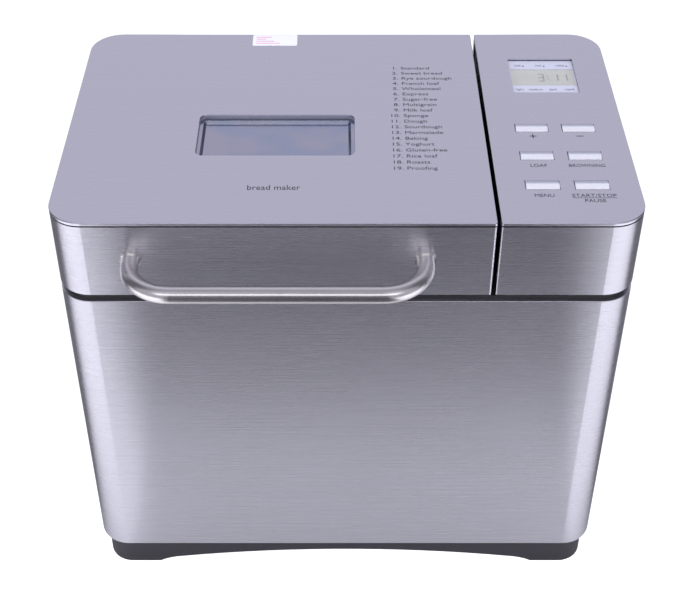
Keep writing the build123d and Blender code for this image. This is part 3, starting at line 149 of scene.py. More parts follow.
# Lamps: name, place, target, size, power, and whether polished surfaces mirror it
LAMPS = (
    ("lamp_overhead", (0.0, 0.1, 1.6), (0.0, 0.0, 0.0), (1.4, 0.7), 9.0, False),
    ("lamp_front", (0.0, -1.2, 1.25), (0.0, -0.1, 0.25), (1.9, 0.5), 4.5, True),
    ("lamp_left", (-0.85, -0.75, 0.5), (-0.2, -0.2, 0.0), (0.7, 0.9), 8.0, False),
    ("lamp_right", (0.88, -0.72, 0.5), (0.2, -0.2, 0.0), (0.7, 0.9), 7.0, False),
)


def colour_setting(name, description, default):
    """A colour that a user may change."""
    return FloatVectorProperty(
        name=name, description=description, subtype="COLOR", size=3, min=0, max=1, default=default
    )


def length_setting(name, description, default):
    """A length that a user may change."""
    return FloatProperty(
        name=name, description=description, default=default, min=0, unit="LENGTH", precision=5
    )


class SteelSettings(bpy.types.PropertyGroup):
    """Sizes and colours of the brushed steel sheets"""

    top_colour: colour_setting("Top colour", "Colour of the flat top plates", (0.585, 0.575, 0.64))
    side_colour: colour_setting("Side colour", "Colour of the shell and bands", (0.58, 0.575, 0.62))
    grain_width: length_setting("Grain width", "Width of one brush line", 0.35 * MM)
    grain_length: length_setting("Grain length", "Length of one brush line", 110 * MM)
    roughness: FloatProperty(
        name="Roughness", description="Mean roughness of the sheets", default=0.27, min=0, max=1
    )


class PrintSettings(bpy.types.PropertyGroup):
    """Sizes and colour of everything printed on the plates"""

    ink: colour_setting("Ink", "Colour of the printing ink", (0.012, 0.011, 0.016))
    list_size: length_setting("List size", "Letter size of the programme list", 5.0 * MM)
    list_pitch: length_setting("List pitch", "Distance between two lines of the list", 6.78 * MM)
    label_size: length_setting("Label size", "Letter size of the key labels", 4.7 * MM)
    card_size: length_setting("Card size", "Letter size on the display card", 3.1 * MM)
    product_line: StringProperty(
        name="Product line", description="Words in front of the window", default="bread maker"
    )


class DisplaySettings(bpy.types.PropertyGroup):
    """Sizes of the liquid crystal digits"""

    time: StringProperty(name="Time", description="Digits on the display", default="3:11")
    digit_height: length_setting("Digit height", "Height of a digit", 9.9 * MM)
    digit_width: length_setting("Digit width", "Width of a digit", 4.8 * MM)
    bar_width: length_setting("Bar width", "Width of one lit bar", 0.9 * MM)


class StudioSettings(bpy.types.PropertyGroup):
    """Floor, light and camera of the studio"""

    floor_colour: colour_setting("Floor", "Colour of the floor", (0.92, 0.92, 0.93))
    camera_place: FloatVectorProperty(
        name="Camera place",
        description="Place of the camera",
        subtype="TRANSLATION",
        unit="LENGTH",
        default=(-0.00435, -0.74135, 0.8139),
    )
    camera_pitch: FloatProperty(
        name="Camera pitch",
        description="Angle of the camera below the horizon",
        default=math.radians(40.41),
        subtype="ANGLE",
        unit="ROTATION",
    )
    camera_lens: FloatProperty(
        name="Lens", description="Focal length in millimetres", default=70.2, min=1
    )
    camera_shift: FloatProperty(
        name="Shift", description="Sideways shift of the lens", default=0.0098
    )


class Wire:
    """A shader socket whose arithmetic adds Math nodes."""

    def __init__(self, nodes, socket):
        self.nodes = nodes
        self.socket = socket

    def maths(self, operation, *values):
        """A Math node on these values; this wire counts only if it is one of them."""
        return self.nodes.add("ShaderNodeMath", {"operation": operation}, dict(enumerate(values)))

    def other(self, output):
        """A wire from another output of the same node."""
        return Wire(self.nodes, self.socket.node.outputs[output])

    def __add__(self, value):
        return self.maths("ADD", self, value)

    def __radd__(self, value):
        return self.maths("ADD", value, self)

    def __sub__(self, value):
        return self.maths("SUBTRACT", self, value)

    def __rsub__(self, value):
        return self.maths("SUBTRACT", value, self)

    def __mul__(self, value):
        return self.maths("MULTIPLY", self, value)

    def __rmul__(self, value):
        return self.maths("MULTIPLY", value, self)

    def __gt__(self, value):
        return self.maths("GREATER_THAN", self, value)

    def __abs__(self):
        return self.maths("ABSOLUTE", self)

    def ramp(self, low, high, bottom=0.0, top=1.0):
        """This value's place between low and high, as a smooth step from bottom to top."""
        return self.nodes.add(
            "ShaderNodeMapRange",
            {"interpolation_type": "SMOOTHSTEP"},
            {
                "Value": self,
                "From Min": low,
                "From Max": high,
                "To Min": bottom,
                "To Max": top,
            },
        )


class Nodes:
    """A node tree that is filled by calls and expressions."""

    def __init__(self, tree):
        self.tree = tree
        tree.nodes.clear()

    def add(self, kind, settings=None, sockets=None, output=0):
        """A node of this kind, with its settings made first, as a wire from one of its outputs."""
        made = self.tree.nodes.new(kind)
        for name, value in (settings or {}).items():
            if name == "stops":
                ramp = made.color_ramp
                while len(ramp.elements) < len(value):
                    ramp.elements.new(1.0)
                for element, (position, colour) in zip(ramp.elements, value):
                    element.position = position
                    element.color = (*colour, 1.0)
            else:
                setattr(made, name, value)
        for name, value in (sockets or {}).items():
            self.feed(made.inputs[name], value)
        return Wire(self, made.outputs[output]) if len(made.outputs) else None

    def feed(self, socket, value):
        """Links a wire to a socket, or sets the socket to a plain value."""
        if isinstance(value, Wire):
            self.tree.links.new(value.socket, socket)
        elif socket.type == "RGBA" and len(value) == 3:
            socket.default_value = (*value, 1.0)
        else:
            socket.default_value = value

    def place(self):
        """Coordinates of the piece itself."""
        return self.add("ShaderNodeTexCoord", output="Object")

    def axes(self, vector):
        """The three parts of a vector."""
        parts = self.add("ShaderNodeSeparateXYZ", sockets={0: vector})
        return parts, parts.other(1), parts.other(2)

    def cells(self, *sizes):
        """The place counted in cells of one size, or of a size along each axis."""
        rates = tuple(1 / size for size in sizes)
        rates = rates * 3 if len(rates) == 1 else rates
        return self.add("ShaderNodeVectorMath", {"operation": "MULTIPLY"}, {0: self.place(), 1: rates})

    def grains(self, *sizes, detail=2.0, roughness=0.5):
        """Noise with grains of one size, or of a size along each axis."""
        return self.add(
            "ShaderNodeTexNoise",
            sockets={
                "Vector": self.cells(*sizes),
                "Scale": 1.0,
                "Detail": detail,
                "Roughness": roughness,
            },
        )

    def within(self, low, high, margin):
        """1 where a point lies inside a box, seen from above, with a margin round it."""
        x, y, _ = self.axes(self.place())
        middle, half = (low + high) / 2, (high - low) / 2
        return (half.x + margin - abs(x - middle.x) > 0) * (half.y + margin - abs(y - middle.y) > 0)

    def mix(self, share, first, second):
        """The first colour at a share of 0, the second at 1."""
        return self.add(
            "ShaderNodeMix",
            {"data_type": "RGBA", "clamp_factor": True},
            {0: share, 6: first, 7: second},
            output=2,
        )

    def bump(self, height, distance, strength=1.0):
        """A normal for relief of this height, a value from 0 to 1 times the distance."""
        return self.add(
            "ShaderNodeBump",
            sockets={"Height": height, "Distance": distance, "Strength": strength},
        )


class Finish(Nodes):
    """A new material with one Principled surface."""

    def __init__(self, name):
        self.material = bpy.data.materials.new(name)
        self.material.use_nodes = True
        super().__init__(self.material.node_tree)

    def surface(self, **sockets):
        """The material with these sockets joined; underscores stand for the spaces in their names."""
        named = {name.replace("_", " "): value for name, value in sockets.items()}
        shader = self.add("ShaderNodeBsdfPrincipled", sockets=named)
        self.add("ShaderNodeOutputMaterial", sockets={"Surface": shader})
        return self.material


def scaled(colour, factor):
    """A colour made lighter or darker."""
    return tuple(min(1.0, part * factor) for part in colour)


def brushed(name, colour, roughness, grain, long_grain, crosswise, anisotropic=0.0, turn=0.0):
    """Sheet steel with brush lines; crosswise says of each axis whether it runs across them."""
    finish = Finish(name)
    lines = [grain if across else long_grain for across in crosswise]
    bands = [grain * 5 if across else long_grain * 2.5 for across in crosswise]
    fine = finish.grains(*lines, detail=3.0)
    coarse = finish.grains(*bands, detail=4.0, roughness=0.6)
    cloud = finish.grains(CLOUD_SIZE)
    tone = (fine - 0.5) * 0.09 + (coarse - 0.5) * 0.14 + (cloud - 0.5) * 0.10
    return finish.surface(
        Base_Color=finish.mix(tone + 0.5, scaled(colour, 0.82), scaled(colour, 1.18)),
        Metallic=1.0,
        Roughness=roughness + (fine - 0.5) * 0.10 + (cloud - 0.5) * 0.06,
        Anisotropic=anisotropic,
        Anisotropic_Rotation=turn,
        Normal=finish.bump(fine + coarse * 0.5, 0.012 * MM, 0.35),
    )


def sheet_metal(name, colour, roughness, spread=0.08, mottle=14 * MM, bump=0.01 * MM):
    """Plain rolled, pressed or turned metal: soft mottling and a fine tooth."""
    finish = Finish(name)
    cloud = finish.grains(mottle, detail=4.0)
    tooth = finish.grains(0.5 * MM)
    return finish.surface(
        Base_Color=finish.mix(cloud, scaled(colour, 1 - spread), scaled(colour, 1 + spread)),
        Metallic=1.0,
        Roughness=roughness + (cloud - 0.5) * 0.12 + (tooth - 0.5) * 0.08,
        Normal=finish.bump(tooth, bump, 0.5),
    )


def moulded(name, colour, roughness, tooth_size=0.45 * MM, depth=0.03 * MM):
    """Moulded plastic or rubber with a spark-eroded texture."""
    finish = Finish(name)
    tooth = finish.grains(tooth_size, detail=3.0, roughness=0.6)
    flow = finish.grains(35 * MM, detail=3.0)
    shade = (flow - 0.5) * 0.35 + (tooth - 0.5) * 0.5 + 0.5
    return finish.surface(
        Base_Color=finish.mix(shade, scaled(colour, 0.72), scaled(colour, 1.3)),
        Roughness=roughness + (tooth - 0.5) * 0.2 + (flow - 0.5) * 0.08,
        Normal=finish.bump(tooth, depth, 0.6),
    )


def paint(material, *nodes):
    """Gives CAD nodes a material in every slot."""
    for node in nodes:
        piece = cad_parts[node]
        for slot in piece.material_slots:
            slot.material = material


def new_piece(name, mesh, body, slot, *materials):
    """A new object that rides on a body and wears the given materials; the slot argument is not used."""
    for polygon in mesh.polygons:
        polygon.use_smooth = False
    for material in materials:
        mesh.materials.append(material)
    piece = bpy.data.objects.new(name, mesh)
    bpy.context.scene.collection.objects.link(piece)
    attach(piece, body)
    return piece


def lettering(words, size, align, line_pitch=None, stretch=1.0):
    """A mesh of printed words whose first baseline lies on the X axis."""
    font = bpy.data.curves.new("lettering", "FONT")
    font.body = words
    font.size = size
    font.align_x = align
    font.resolution_u = 3
    font.extrude = INK_DEPTH / 2
    if line_pitch:
        font.space_line = line_pitch / size
    holder = bpy.data.objects.new("lettering", font)
    mesh = bpy.data.meshes.new_from_object(holder)
    bpy.data.objects.remove(holder)
    bpy.data.curves.remove(font)
    mesh.transform(Matrix.Diagonal((stretch, 1, 1, 1)))
    return mesh


def widened(words, size, width):
    """Centred lettering stretched sideways to a given width."""
    mesh = lettering(words, size, "CENTER")
    spread = [vertex.co.x for vertex in mesh.vertices]
    mesh.transform(Matrix.Diagonal((width / (max(spread) - min(spread)), 1, 1, 1)))
    return mesh


def joined(name, parts):
    """One mesh from (mesh, place) pairs."""
    whole = bmesh.new()
    for mesh, place in parts:
        mesh.transform(Matrix.Translation(place))
        whole.from_mesh(mesh)
        bpy.data.meshes.remove(mesh)
    made = bpy.data.meshes.new(name)
    whole.to_mesh(made)
    whole.free()
    return made


def slab(outline, depth=INK_DEPTH):
    """A mesh of a flat outline, given as (x, y) points, raised from height 0 to a depth."""
    shape = bmesh.new()
    face = shape.faces.new([shape.verts.new((x, y, 0)) for x, y in outline])
    raised = bmesh.ops.extrude_face_region(shape, geom=[face])["geom"]
    moved = [part for part in raised if isinstance(part, bmesh.types.BMVert)]
    bmesh.ops.translate(shape, vec=(0, 0, depth), verts=moved)
    bmesh.ops.recalc_face_normals(shape, faces=shape.faces)
    mesh = bpy.data.meshes.new("slab")
    shape.to_mesh(mesh)
    shape.free()
    return mesh


def round_corners(width, height, radius, steps=5):
    """Points of a rectangle round the origin with rounded corners."""
    points = []
    for quarter in range(4):
        turn = math.pi / 2 * quarter
        side_x = 1 if quarter in (0, 3) else -1
        side_y = 1 if quarter in (0, 1) else -1
        for step in range(steps + 1):
            angle = turn + math.pi / 2 * step / steps
            points.append(
                (
                    side_x * (width / 2 - radius) + radius * math.cos(angle),
                    side_y * (height / 2 - radius) + radius * math.sin(angle),
                )
            )
    return points


def ink_finish():
    """The one ink that every print shares."""
    found = bpy.data.materials.get("printing_ink")
    if found:
        return found
    ink = bpy.context.scene.bread_print.ink
    finish = Finish("printing_ink")
    grain = finish.grains(0.25 * MM)
    return finish.surface(
        Base_Color=finish.mix(grain, ink, scaled(ink, 2.2)),
        Roughness=0.5 + (grain - 0.5) * 0.2,
        Normal=finish.bump(grain, 0.004 * MM, 0.4),
    )


class BREAD_OT_outer_steel(bpy.types.Operator):
    """Brushed steel of the shell, the lid and the control unit"""

    bl_idname = "bread.outer_steel"
    bl_label = "Outer steel"

    def execute(self, context):
        steel = context.scene.bread_steel
        side = brushed(
            "brushed_steel_sides",
            steel.side_colour,
            steel.roughness,
            steel.grain_width,
            steel.grain_length,
            (False, False, True),
            anisotropic=0.95,
            turn=0.25,
        )
        top = brushed(
            "brushed_steel_top",
            steel.top_colour,
            steel.roughness,
            steel.grain_width,
            steel.grain_length,
            (False, True, False),
        )
        paint(side, "outer_shell", "lid_band", "control_band")
        paint(top, "lid_top_plate", "control_top_plate")
        return {"FINISHED"}


class BREAD_OT_inner_metal(bpy.types.Operator):
    """Metal of the chassis, oven, hinges, screws and shafts"""

    bl_idname = "bread.inner_metal"
    bl_label = "Inner metal"

    def execute(self, context):
        mill = sheet_metal("mill_steel", (0.52, 0.52, 0.54), 0.38)
        bright = sheet_metal("bright_steel", (0.68, 0.68, 0.7), 0.24, spread=0.05)
        cast = sheet_metal("aluminium_sheet", (0.68, 0.68, 0.7), 0.42, mottle=6 * MM)
        bronze = sheet_metal("sintered_bronze", (0.56, 0.37, 0.17), 0.45, 0.15, 2 * MM, 0.04 * MM)
        paint(
            mill,
            "chassis_plate",
            "rear_panel",
            "oven_chamber",
            "heater_brackets",
            "pan_clips",
            "hinge_leaves",
            "pan_ears",
            "temperature_sensor",
        )
        paint(
            bright,
            "body_screws",
            "hinge_pins",
            "handle_screws",
            "drive_shaft",
            "pan_shaft",
            "pan_bail",
        )
        paint(
            cast,
            "lid_liner",
            "heat_shield",
            "bearing_housing",
            "drive_coupling",
            "pan_coupling",
            "motor_end_bells",
        )
        paint(bronze, "shaft_bushes", "pan_bush")
        return {"FINISHED"}


class BREAD_OT_handle(bpy.types.Operator):
    """Satin polish of the lid's bow handle"""

    bl_idname = "bread.handle"
    bl_label = "Handle"

    def execute(self, context):
        finish = Finish("satin_polished_steel")
        draw = finish.grains(30 * MM, 0.4 * MM, 0.4 * MM, detail=3.0)
        cloud = finish.grains(22 * MM, detail=3.0)
        polish = finish.surface(
            Base_Color=finish.mix(cloud, (0.6, 0.58, 0.575), (0.69, 0.675, 0.67)),
            Metallic=1.0,
            Roughness=0.24 + (draw - 0.5) * 0.08 + (cloud - 0.5) * 0.05,
            Normal=finish.bump(draw, 0.006 * MM, 0.4),
        )
        paint(polish, "handle_tube")
        return {"FINISHED"}


class BREAD_OT_plastics(bpy.types.Operator):
    """Moulded plastic, rubber and silicone parts"""

    bl_idname = "bread.plastics"
    bl_label = "Plastics and rubber"

    def execute(self, context):
        charcoal = moulded("charcoal_plastic", (0.023, 0.022, 0.028), 0.55)
        black = moulded("black_plastic", (0.014, 0.014, 0.016), 0.48)
        rubber = moulded("black_rubber", (0.022, 0.022, 0.022), 0.75, 0.3 * MM, 0.05 * MM)
        silicone = moulded("grey_silicone", (0.33, 0.33, 0.34), 0.5, 0.6 * MM, 0.02 * MM)
        nylon = moulded("natural_nylon", (0.58, 0.57, 0.52), 0.42, 0.8 * MM, 0.02 * MM)
        paint(charcoal, "base_tray")
        paint(
            black,
            "top_deck",
            "hinge_housing",
            "control_frame",
            "window_duct",
            "cord_gland",
        )
        paint(rubber, "rubber_feet", "drive_belt")
        paint(silicone, "lid_seal", "window_gasket")
        paint(self.lid_frame(), "lid_frame")
        paint(nylon, "drive_pulley")
        return {"FINISHED"}

    def lid_frame(self):
        """Black plastic, coloured grey where it lines the window's pocket as a painted reflection."""
        finish = Finish("lid_frame_plastic")
        tooth = finish.grains(0.45 * MM, detail=3.0, roughness=0.6)
        low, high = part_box("window_outer_pane")
        inside = finish.within(low, high, 4 * MM)
        # Painted reflection: within 4 mm of the pane's outline the frame is coloured pale bluish grey,
        # standing in for light seen on the pocket's walls.
        colour = finish.mix(inside, (0.015, 0.015, 0.017), (0.24, 0.245, 0.3))
        return finish.surface(
            Base_Color=finish.mix((tooth - 0.5) * 0.4 + 0.2, colour, (0.03, 0.03, 0.032)),
            Roughness=0.45 + (tooth - 0.5) * 0.2,
            Normal=finish.bump(tooth, 0.03 * MM, 0.6),
        )


class BREAD_OT_window(bpy.types.Operator):
    """Tinted pane and inner glass of the viewing window"""

    bl_idname = "bread.window"
    bl_label = "Viewing window"

    def execute(self, context):
        pane = Finish("tinted_pane")
        drift = pane.grains(34 * MM, 26 * MM, 30 * MM, detail=1.0)
        haze = pane.grains(9 * MM)
        tinted = pane.surface(
            Base_Color=pane.mix(drift.ramp(0.35, 0.65), (0.37, 0.41, 0.54), (0.44, 0.44, 0.53)),
            Metallic=0.9,
            Roughness=0.13 + (haze - 0.5) * 0.06,
            IOR=1.49,
            Transmission_Weight=0.85,
        )
        glass = Finish("oven_glass")
        wave = glass.grains(18 * MM, detail=1.0)
        clear = glass.surface(
            Base_Color=glass.mix(wave, (0.83, 0.88, 0.88), (0.9, 0.94, 0.94)),
            Roughness=0.03 + (wave - 0.5) * 0.02,
            IOR=1.5,
            Transmission_Weight=0.95,
        )
        paint(tinted, "window_outer_pane")
        paint(clear, "window_inner_glass")
        return {"FINISHED"}


class BREAD_OT_keys(bpy.types.Operator):
    """Silver key caps and their switches"""

    bl_idname = "bread.keys"
    bl_label = "Keys"

    def execute(self, context):
        finish = Finish("silver_key_paint")
        flake = finish.grains(0.25 * MM)
        light = finish.mix(flake, (0.64, 0.65, 0.71), (0.74, 0.75, 0.80))
        # Painted shade: the darker, bluer colour on the rear part of each key and the lighter front
        # stand in for the lit and shaded halves of a domed top.
        shade = finish.mix(flake, (0.31, 0.33, 0.41), (0.37, 0.39, 0.47))
        silver = finish.surface(
            Base_Color=finish.mix(self.rear_painted_shade(finish), light, shade),
            Metallic=0.35,
            Roughness=0.3 + (flake - 0.5) * 0.08,
            Normal=finish.bump(flake, 0.004 * MM, 0.4),
        )
        paint(silver, *KEY_LABELS)
        switch = moulded("switch_black", (0.02, 0.02, 0.02), 0.5)
        paint(switch, "key_switches")
        return {"FINISHED"}

    def rear_painted_shade(self, finish):
        """1 on the rear part of the keys in every row, fading to 0 over their middle; this places the
        painted shade.
        """
        _, y, _ = finish.axes(finish.place())
        rear = 0
        for key in KEY_ROWS:
            low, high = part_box(key)
            half = (high.y - low.y) / 2
            from_middle = y - (low.y + high.y) / 2
            rear = rear + from_middle.ramp(-0.2 * half, 0.4 * half) * (half * 1.2 - abs(from_middle) > 0)
        return rear


class BREAD_OT_display(bpy.types.Operator):
    """Printed card, liquid crystal glass and digits of the display"""

    bl_idname = "bread.display"
    bl_label = "Display"

    def execute(self, context):
        settings = context.scene.bread_display
        card = Finish("printed_card")
        fibre = card.grains(0.4 * MM, detail=3.0)
        white = card.surface(
            Base_Color=card.mix(fibre, (0.50, 0.52, 0.63), (0.58, 0.60, 0.71)),
            Roughness=0.55 + (fibre - 0.5) * 0.1,
        )
        glass = Finish("liquid_crystal")
        cloud = glass.grains(16 * MM)
        crystal = glass.surface(
            Base_Color=glass.mix(cloud, (0.40, 0.42, 0.39), (0.48, 0.49, 0.46)),
            Roughness=0.24 + (cloud - 0.5) * 0.06,
            Coat_Weight=0.4,
        )
        paint(white, "display_card")
        paint(crystal, "display_module")
        lit = Finish("lit_bars")
        smoke = lit.grains(3 * MM, detail=1.0)
        dark = lit.surface(
            Base_Color=lit.mix(smoke, (0.2, 0.22, 0.21), (0.27, 0.28, 0.27)),
            Roughness=0.35 + (smoke - 0.5) * 0.1,
        )
        mesh = joined("display_digits", self.digits(settings))
        new_piece("display_digits", mesh, "housing", "display_glass", dark)
        return {"FINISHED"}

    def digits(self, settings):
        """(mesh, place) pairs of the lit bars and the colon's dots."""
        middle = (MODULE_LOW.y + MODULE_HIGH.y) / 2 + DIGIT_SHIFT
        top = MODULE_HIGH.z + INK_GAP
        span = CARD_HIGH.x - CARD_LOW.x
        parts = []
        for figure, share in zip(settings.time, DIGIT_CENTRES):
            centre = Vector((CARD_LOW.x + span * share, middle, top))
            if figure == ":":
                for side in (-1, 1):
                    dot = slab(round_corners(COLON_DOT, COLON_DOT, 0.3 * MM, 2))
                    parts.append((dot, centre + Vector((0, side * COLON_HALF, 0))))
            else:
                parts += self.bars(settings, figure, centre)
        return parts

    def bars(self, settings, figure, centre):
        """(mesh, place) pairs of one figure; each bar has its offset and whether it lies flat."""
        wide, high, thick = settings.digit_width, settings.digit_height, settings.bar_width
        across, up = (wide - thick) / 2, (high - thick) / 2
        layout = {
            "a": (0, up, True),
            "b": (across, up / 2, False),
            "c": (across, -up / 2, False),
            "d": (0, -up, True),
            "e": (-across, -up / 2, False),
            "f": (-across, up / 2, False),
            "g": (0, 0, True),
        }
        parts = []
        for bar in LIT_BARS[figure]:
            x, y, flat = layout[bar]
            length = (2 * across if flat else up) - 0.25 * MM
            half, point = length / 2, thick / 2
            outline = [
                (-half, 0),
                (-half + point, -point),
                (half - point, -point),
                (half, 0),
                (half - point, point),
                (-half + point, point),
            ]
            if not flat:
                outline = [(-b, a) for a, b in outline]
            parts.append((slab(outline), centre + Vector((x, y, 0))))
        return parts


class BREAD_OT_programme_list(bpy.types.Operator):
    """Numbered programme list printed on the lid"""

    bl_idname = "bread.programme_list"
    bl_label = "Programme list"

    def execute(self, context):
        settings = context.scene.bread_print
        numbers = "\n".join(f"{place}." for place in range(1, len(PROGRAMS) + 1))
        edge = Vector(
            (PLATE_HIGH.x - LIST_EDGE, PLATE_LOW.y + LIST_FIRST_LINE, PLATE_HIGH.z + INK_MIDDLE)
        )
        size, pitch = settings.list_size, settings.list_pitch
        words = lettering("\n".join(PROGRAMS), size, "LEFT", pitch, WORD_STRETCH)
        parts = [
            (lettering(numbers, size, "RIGHT", pitch, NUMBER_STRETCH), edge),
            (words, edge + Vector((LIST_GAP, 0, 0))),
        ]
        mesh = joined("programme_list_print", parts)
        new_piece("programme_list_print", mesh, "lid", "charcoal_plastic", ink_finish())
        return {"FINISHED"}


class BREAD_OT_product_line(bpy.types.Operator):
    """Plain product words printed in front of the window"""

    bl_idname = "bread.product_line"
    bl_label = "Product line"

    def execute(self, context):
        settings = context.scene.bread_print
        words = widened(settings.product_line, PRODUCT_SIZE, PRODUCT_WIDTH)
        middle = Vector(
            (
                (PLATE_LOW.x + PLATE_HIGH.x) / 2 + PRODUCT_SHIFT,
                PLATE_LOW.y + PRODUCT_FRONT,
                PLATE_HIGH.z + INK_MIDDLE,
            )
        )
        mesh = joined("product_line_print", [(words, middle)])
        new_piece("product_line_print", mesh, "lid", "charcoal_plastic", ink_finish())
        return {"FINISHED"}


class BREAD_OT_key_labels(bpy.types.Operator):
    """Words and signs printed under the keys"""

    bl_idname = "bread.key_labels"
    bl_label = "Key labels"

    def execute(self, context):
        size = context.scene.bread_print.label_size
        parts = []
        for key, lines in KEY_LABELS.items():
            low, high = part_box(key)
            front = Vector(((low.x + high.x) / 2, low.y, PANEL_HIGH.z + INK_GAP))
            if lines[0] in LABEL_WIDTHS:
                for row, words in enumerate(lines):
                    drop = Vector((0, -LABEL_DROP - row * LABEL_PITCH, INK_DEPTH / 2))
                    parts.append((widened(words, size, LABEL_WIDTHS[words]), front + drop))
            else:
                parts += self.sign(lines[0], front - Vector((0, SIGN_DROP, 0)))
            if len(lines) > 1:
                rule = slab(round_corners(LABEL_WIDTHS[lines[0]], RULE_STROKE, RULE_ROUND, 2))
                parts.append((rule, front - Vector((0, RULE_DROP, 0))))
        mesh = joined("key_label_print", parts)
        new_piece("key_label_print", mesh, "housing", "charcoal_plastic", ink_finish())
        return {"FINISHED"}

    def sign(self, figure, middle):
        """(mesh, place) pairs of a plus or minus sign."""
        parts = [(slab(round_corners(SIGN_LENGTH, SIGN_STROKE, SIGN_ROUND, 2)), middle)]
        if figure == "+":
            for side in (-1, 1):
                arm = slab(round_corners(SIGN_STROKE, SIGN_ARM, SIGN_ROUND, 2))
                parts.append((arm, middle + Vector((0, side * SIGN_REACH, 0))))
        return parts


class BREAD_OT_card_print(bpy.types.Operator):
    """Small words printed on the display card"""

    bl_idname = "bread.card_print"
    bl_label = "Card printing"

    def execute(self, context):
        size = context.scene.bread_print.card_size
        span = CARD_HIGH.x - CARD_LOW.x
        rows = (
            (REAR_WORDS, CARD_HIGH.y - REAR_WORDS_DROP),
            (FRONT_WORDS, CARD_LOW.y + FRONT_WORDS_RISE),
        )
        parts = []
        for row, baseline in rows:
            for words, share in row:
                place = Vector((CARD_LOW.x + span * share, baseline, CARD_HIGH.z + INK_MIDDLE))
                parts.append((lettering(words, size, "CENTER"), place))
        mesh = joined("display_card_print", parts)
        new_piece("display_card_print", mesh, "housing", "charcoal_plastic", ink_finish())
        return {"FINISHED"}


class BREAD_OT_sticker(bpy.types.Operator):
    """Paper sticker with plain bars at the back of the lid"""

    bl_idname = "bread.sticker"
    bl_label = "Sticker"

    def execute(self, context):
        middle = Vector(
            (PLATE_LOW.x + STICKER_LEFT, PLATE_LOW.y + STICKER_FRONT, PLATE_HIGH.z + STICKER_GAP)
        )
        finish = Finish("sticker_paper")
        fibre = finish.grains(0.5 * MM, detail=3.0)
        paper = finish.surface(
            Base_Color=finish.mix(fibre, (0.78, 0.79, 0.88), (0.86, 0.87, 0.95)),
            Roughness=0.45 + (fibre - 0.5) * 0.1,
        )
        label = slab(round_corners(*STICKER_SIZE, 1.2 * MM), STICKER_DEPTH)
        mesh = joined("paper_sticker", [(label, middle)])
        new_piece("paper_sticker", mesh, "lid", "display_white", paper)
        red = Finish("sticker_ink")
        grain = red.grains(0.3 * MM)
        faded = red.surface(
            Base_Color=red.mix(grain, (0.62, 0.2, 0.27), (0.8, 0.42, 0.47)),
            Roughness=0.5 + (grain - 0.5) * 0.1,
        )
        rules = []
        for row, length in enumerate(BAR_LENGTHS):
            bar = slab(round_corners(length, BAR_STROKE, 0.2 * MM, 2))
            offset = (length / 2 - BARS_LEFT, BARS_REAR - BAR_PITCH * row, STICKER_DEPTH + STICKER_GAP)
            rules.append((bar, middle + Vector(offset)))
        mesh = joined("sticker_rules", rules)
        new_piece("sticker_rules", mesh, "lid", "display_white", faded)
        return {"FINISHED"}


class BREAD_OT_heater(bpy.types.Operator):
    """Heat-tinted sheath of the heating element"""

    bl_idname = "bread.heater"
    bl_label = "Heating element"

    def execute(self, context):
        finish = Finish("oxidised_sheath")
        tint = finish.grains(26 * MM, detail=4.0)
        scale = finish.grains(1.2 * MM, detail=4.0)
        colour = finish.add(
            "ShaderNodeValToRGB",
            {
                "stops": [
                    (0.3, (0.07, 0.065, 0.07)),
                    (0.5, (0.16, 0.13, 0.11)),
                    (0.7, (0.09, 0.1, 0.14)),
                ]
            },
            {0: tint},
        )
        sheath = finish.surface(
            Base_Color=colour,
            Metallic=0.8,
            Roughness=0.5 + (scale - 0.5) * 0.25,
            Normal=finish.bump(scale, 0.03 * MM, 0.5),
        )
        paint(sheath, "heating_element")
        return {"FINISHED"}


class BREAD_OT_pan(bpy.types.Operator):
    """Non-stick coating of the pan and the paddle"""

    bl_idname = "bread.pan"
    bl_label = "Bread pan and paddle"

    def execute(self, context):
        finish = Finish("non_stick_coating")
        speck = finish.grains(0.9 * MM)
        peel = finish.grains(2.2 * MM, detail=3.0)
        coating = finish.surface(
            Base_Color=finish.mix(speck.ramp(0.62, 0.72), (0.055, 0.055, 0.06), (0.2, 0.2, 0.21)),
            Metallic=0.35,
            Roughness=0.34 + (peel - 0.5) * 0.12,
            Normal=finish.bump(peel, 0.05 * MM, 0.5),
        )
        paint(coating, "bread_pan", "kneading_paddle")
        return {"FINISHED"}


class BREAD_OT_motor(bpy.types.Operator):
    """Laminated iron, rotor and small pulley of the motor"""

    bl_idname = "bread.motor"
    bl_label = "Motor"

    def execute(self, context):
        finish = Finish("laminated_iron")
        _, _, height = finish.axes(finish.cells(1.2 * MM))
        sheets = abs(height.maths("FRACT", height) - 0.5)
        rust = finish.grains(5 * MM, detail=4.0)
        iron = finish.surface(
            Base_Color=finish.mix(rust, (0.17, 0.17, 0.18), (0.28, 0.27, 0.27)),
            Metallic=0.9,
            Roughness=0.45 + (rust - 0.5) * 0.2,
            Normal=finish.bump(sheets, 0.08 * MM, 0.6),
        )
        paint(iron, "motor_stator", "motor_rotor")
        paint(sheet_metal("sintered_iron", (0.3, 0.3, 0.31), 0.4, 0.12, 2 * MM), "motor_pulley")
        return {"FINISHED"}


class BREAD_OT_electrics(bpy.types.Operator):
    """Circuit boards and the motor's capacitor"""

    bl_idname = "bread.electrics"
    bl_label = "Boards and capacitor"

    def execute(self, context):
        finish = Finish("solder_mask")
        track = finish.add(
            "ShaderNodeTexVoronoi",
            {"feature": "DISTANCE_TO_EDGE"},
            {"Vector": finish.cells(4 * MM), "Scale": 1.0},
        )
        lines = track.ramp(0.03, 0.07, 1.0, 0.0)
        board = finish.surface(
            Base_Color=finish.mix(lines, (0.015, 0.13, 0.05), (0.05, 0.26, 0.1)),
            Roughness=0.3 + lines * 0.1,
            Coat_Weight=0.3,
            Normal=finish.bump(lines, 0.03 * MM, 0.5),
        )
        paint(board, "power_board", "control_board")
        paint(moulded("capacitor_white", (0.75, 0.75, 0.72), 0.4), "motor_capacitor")
        return {"FINISHED"}


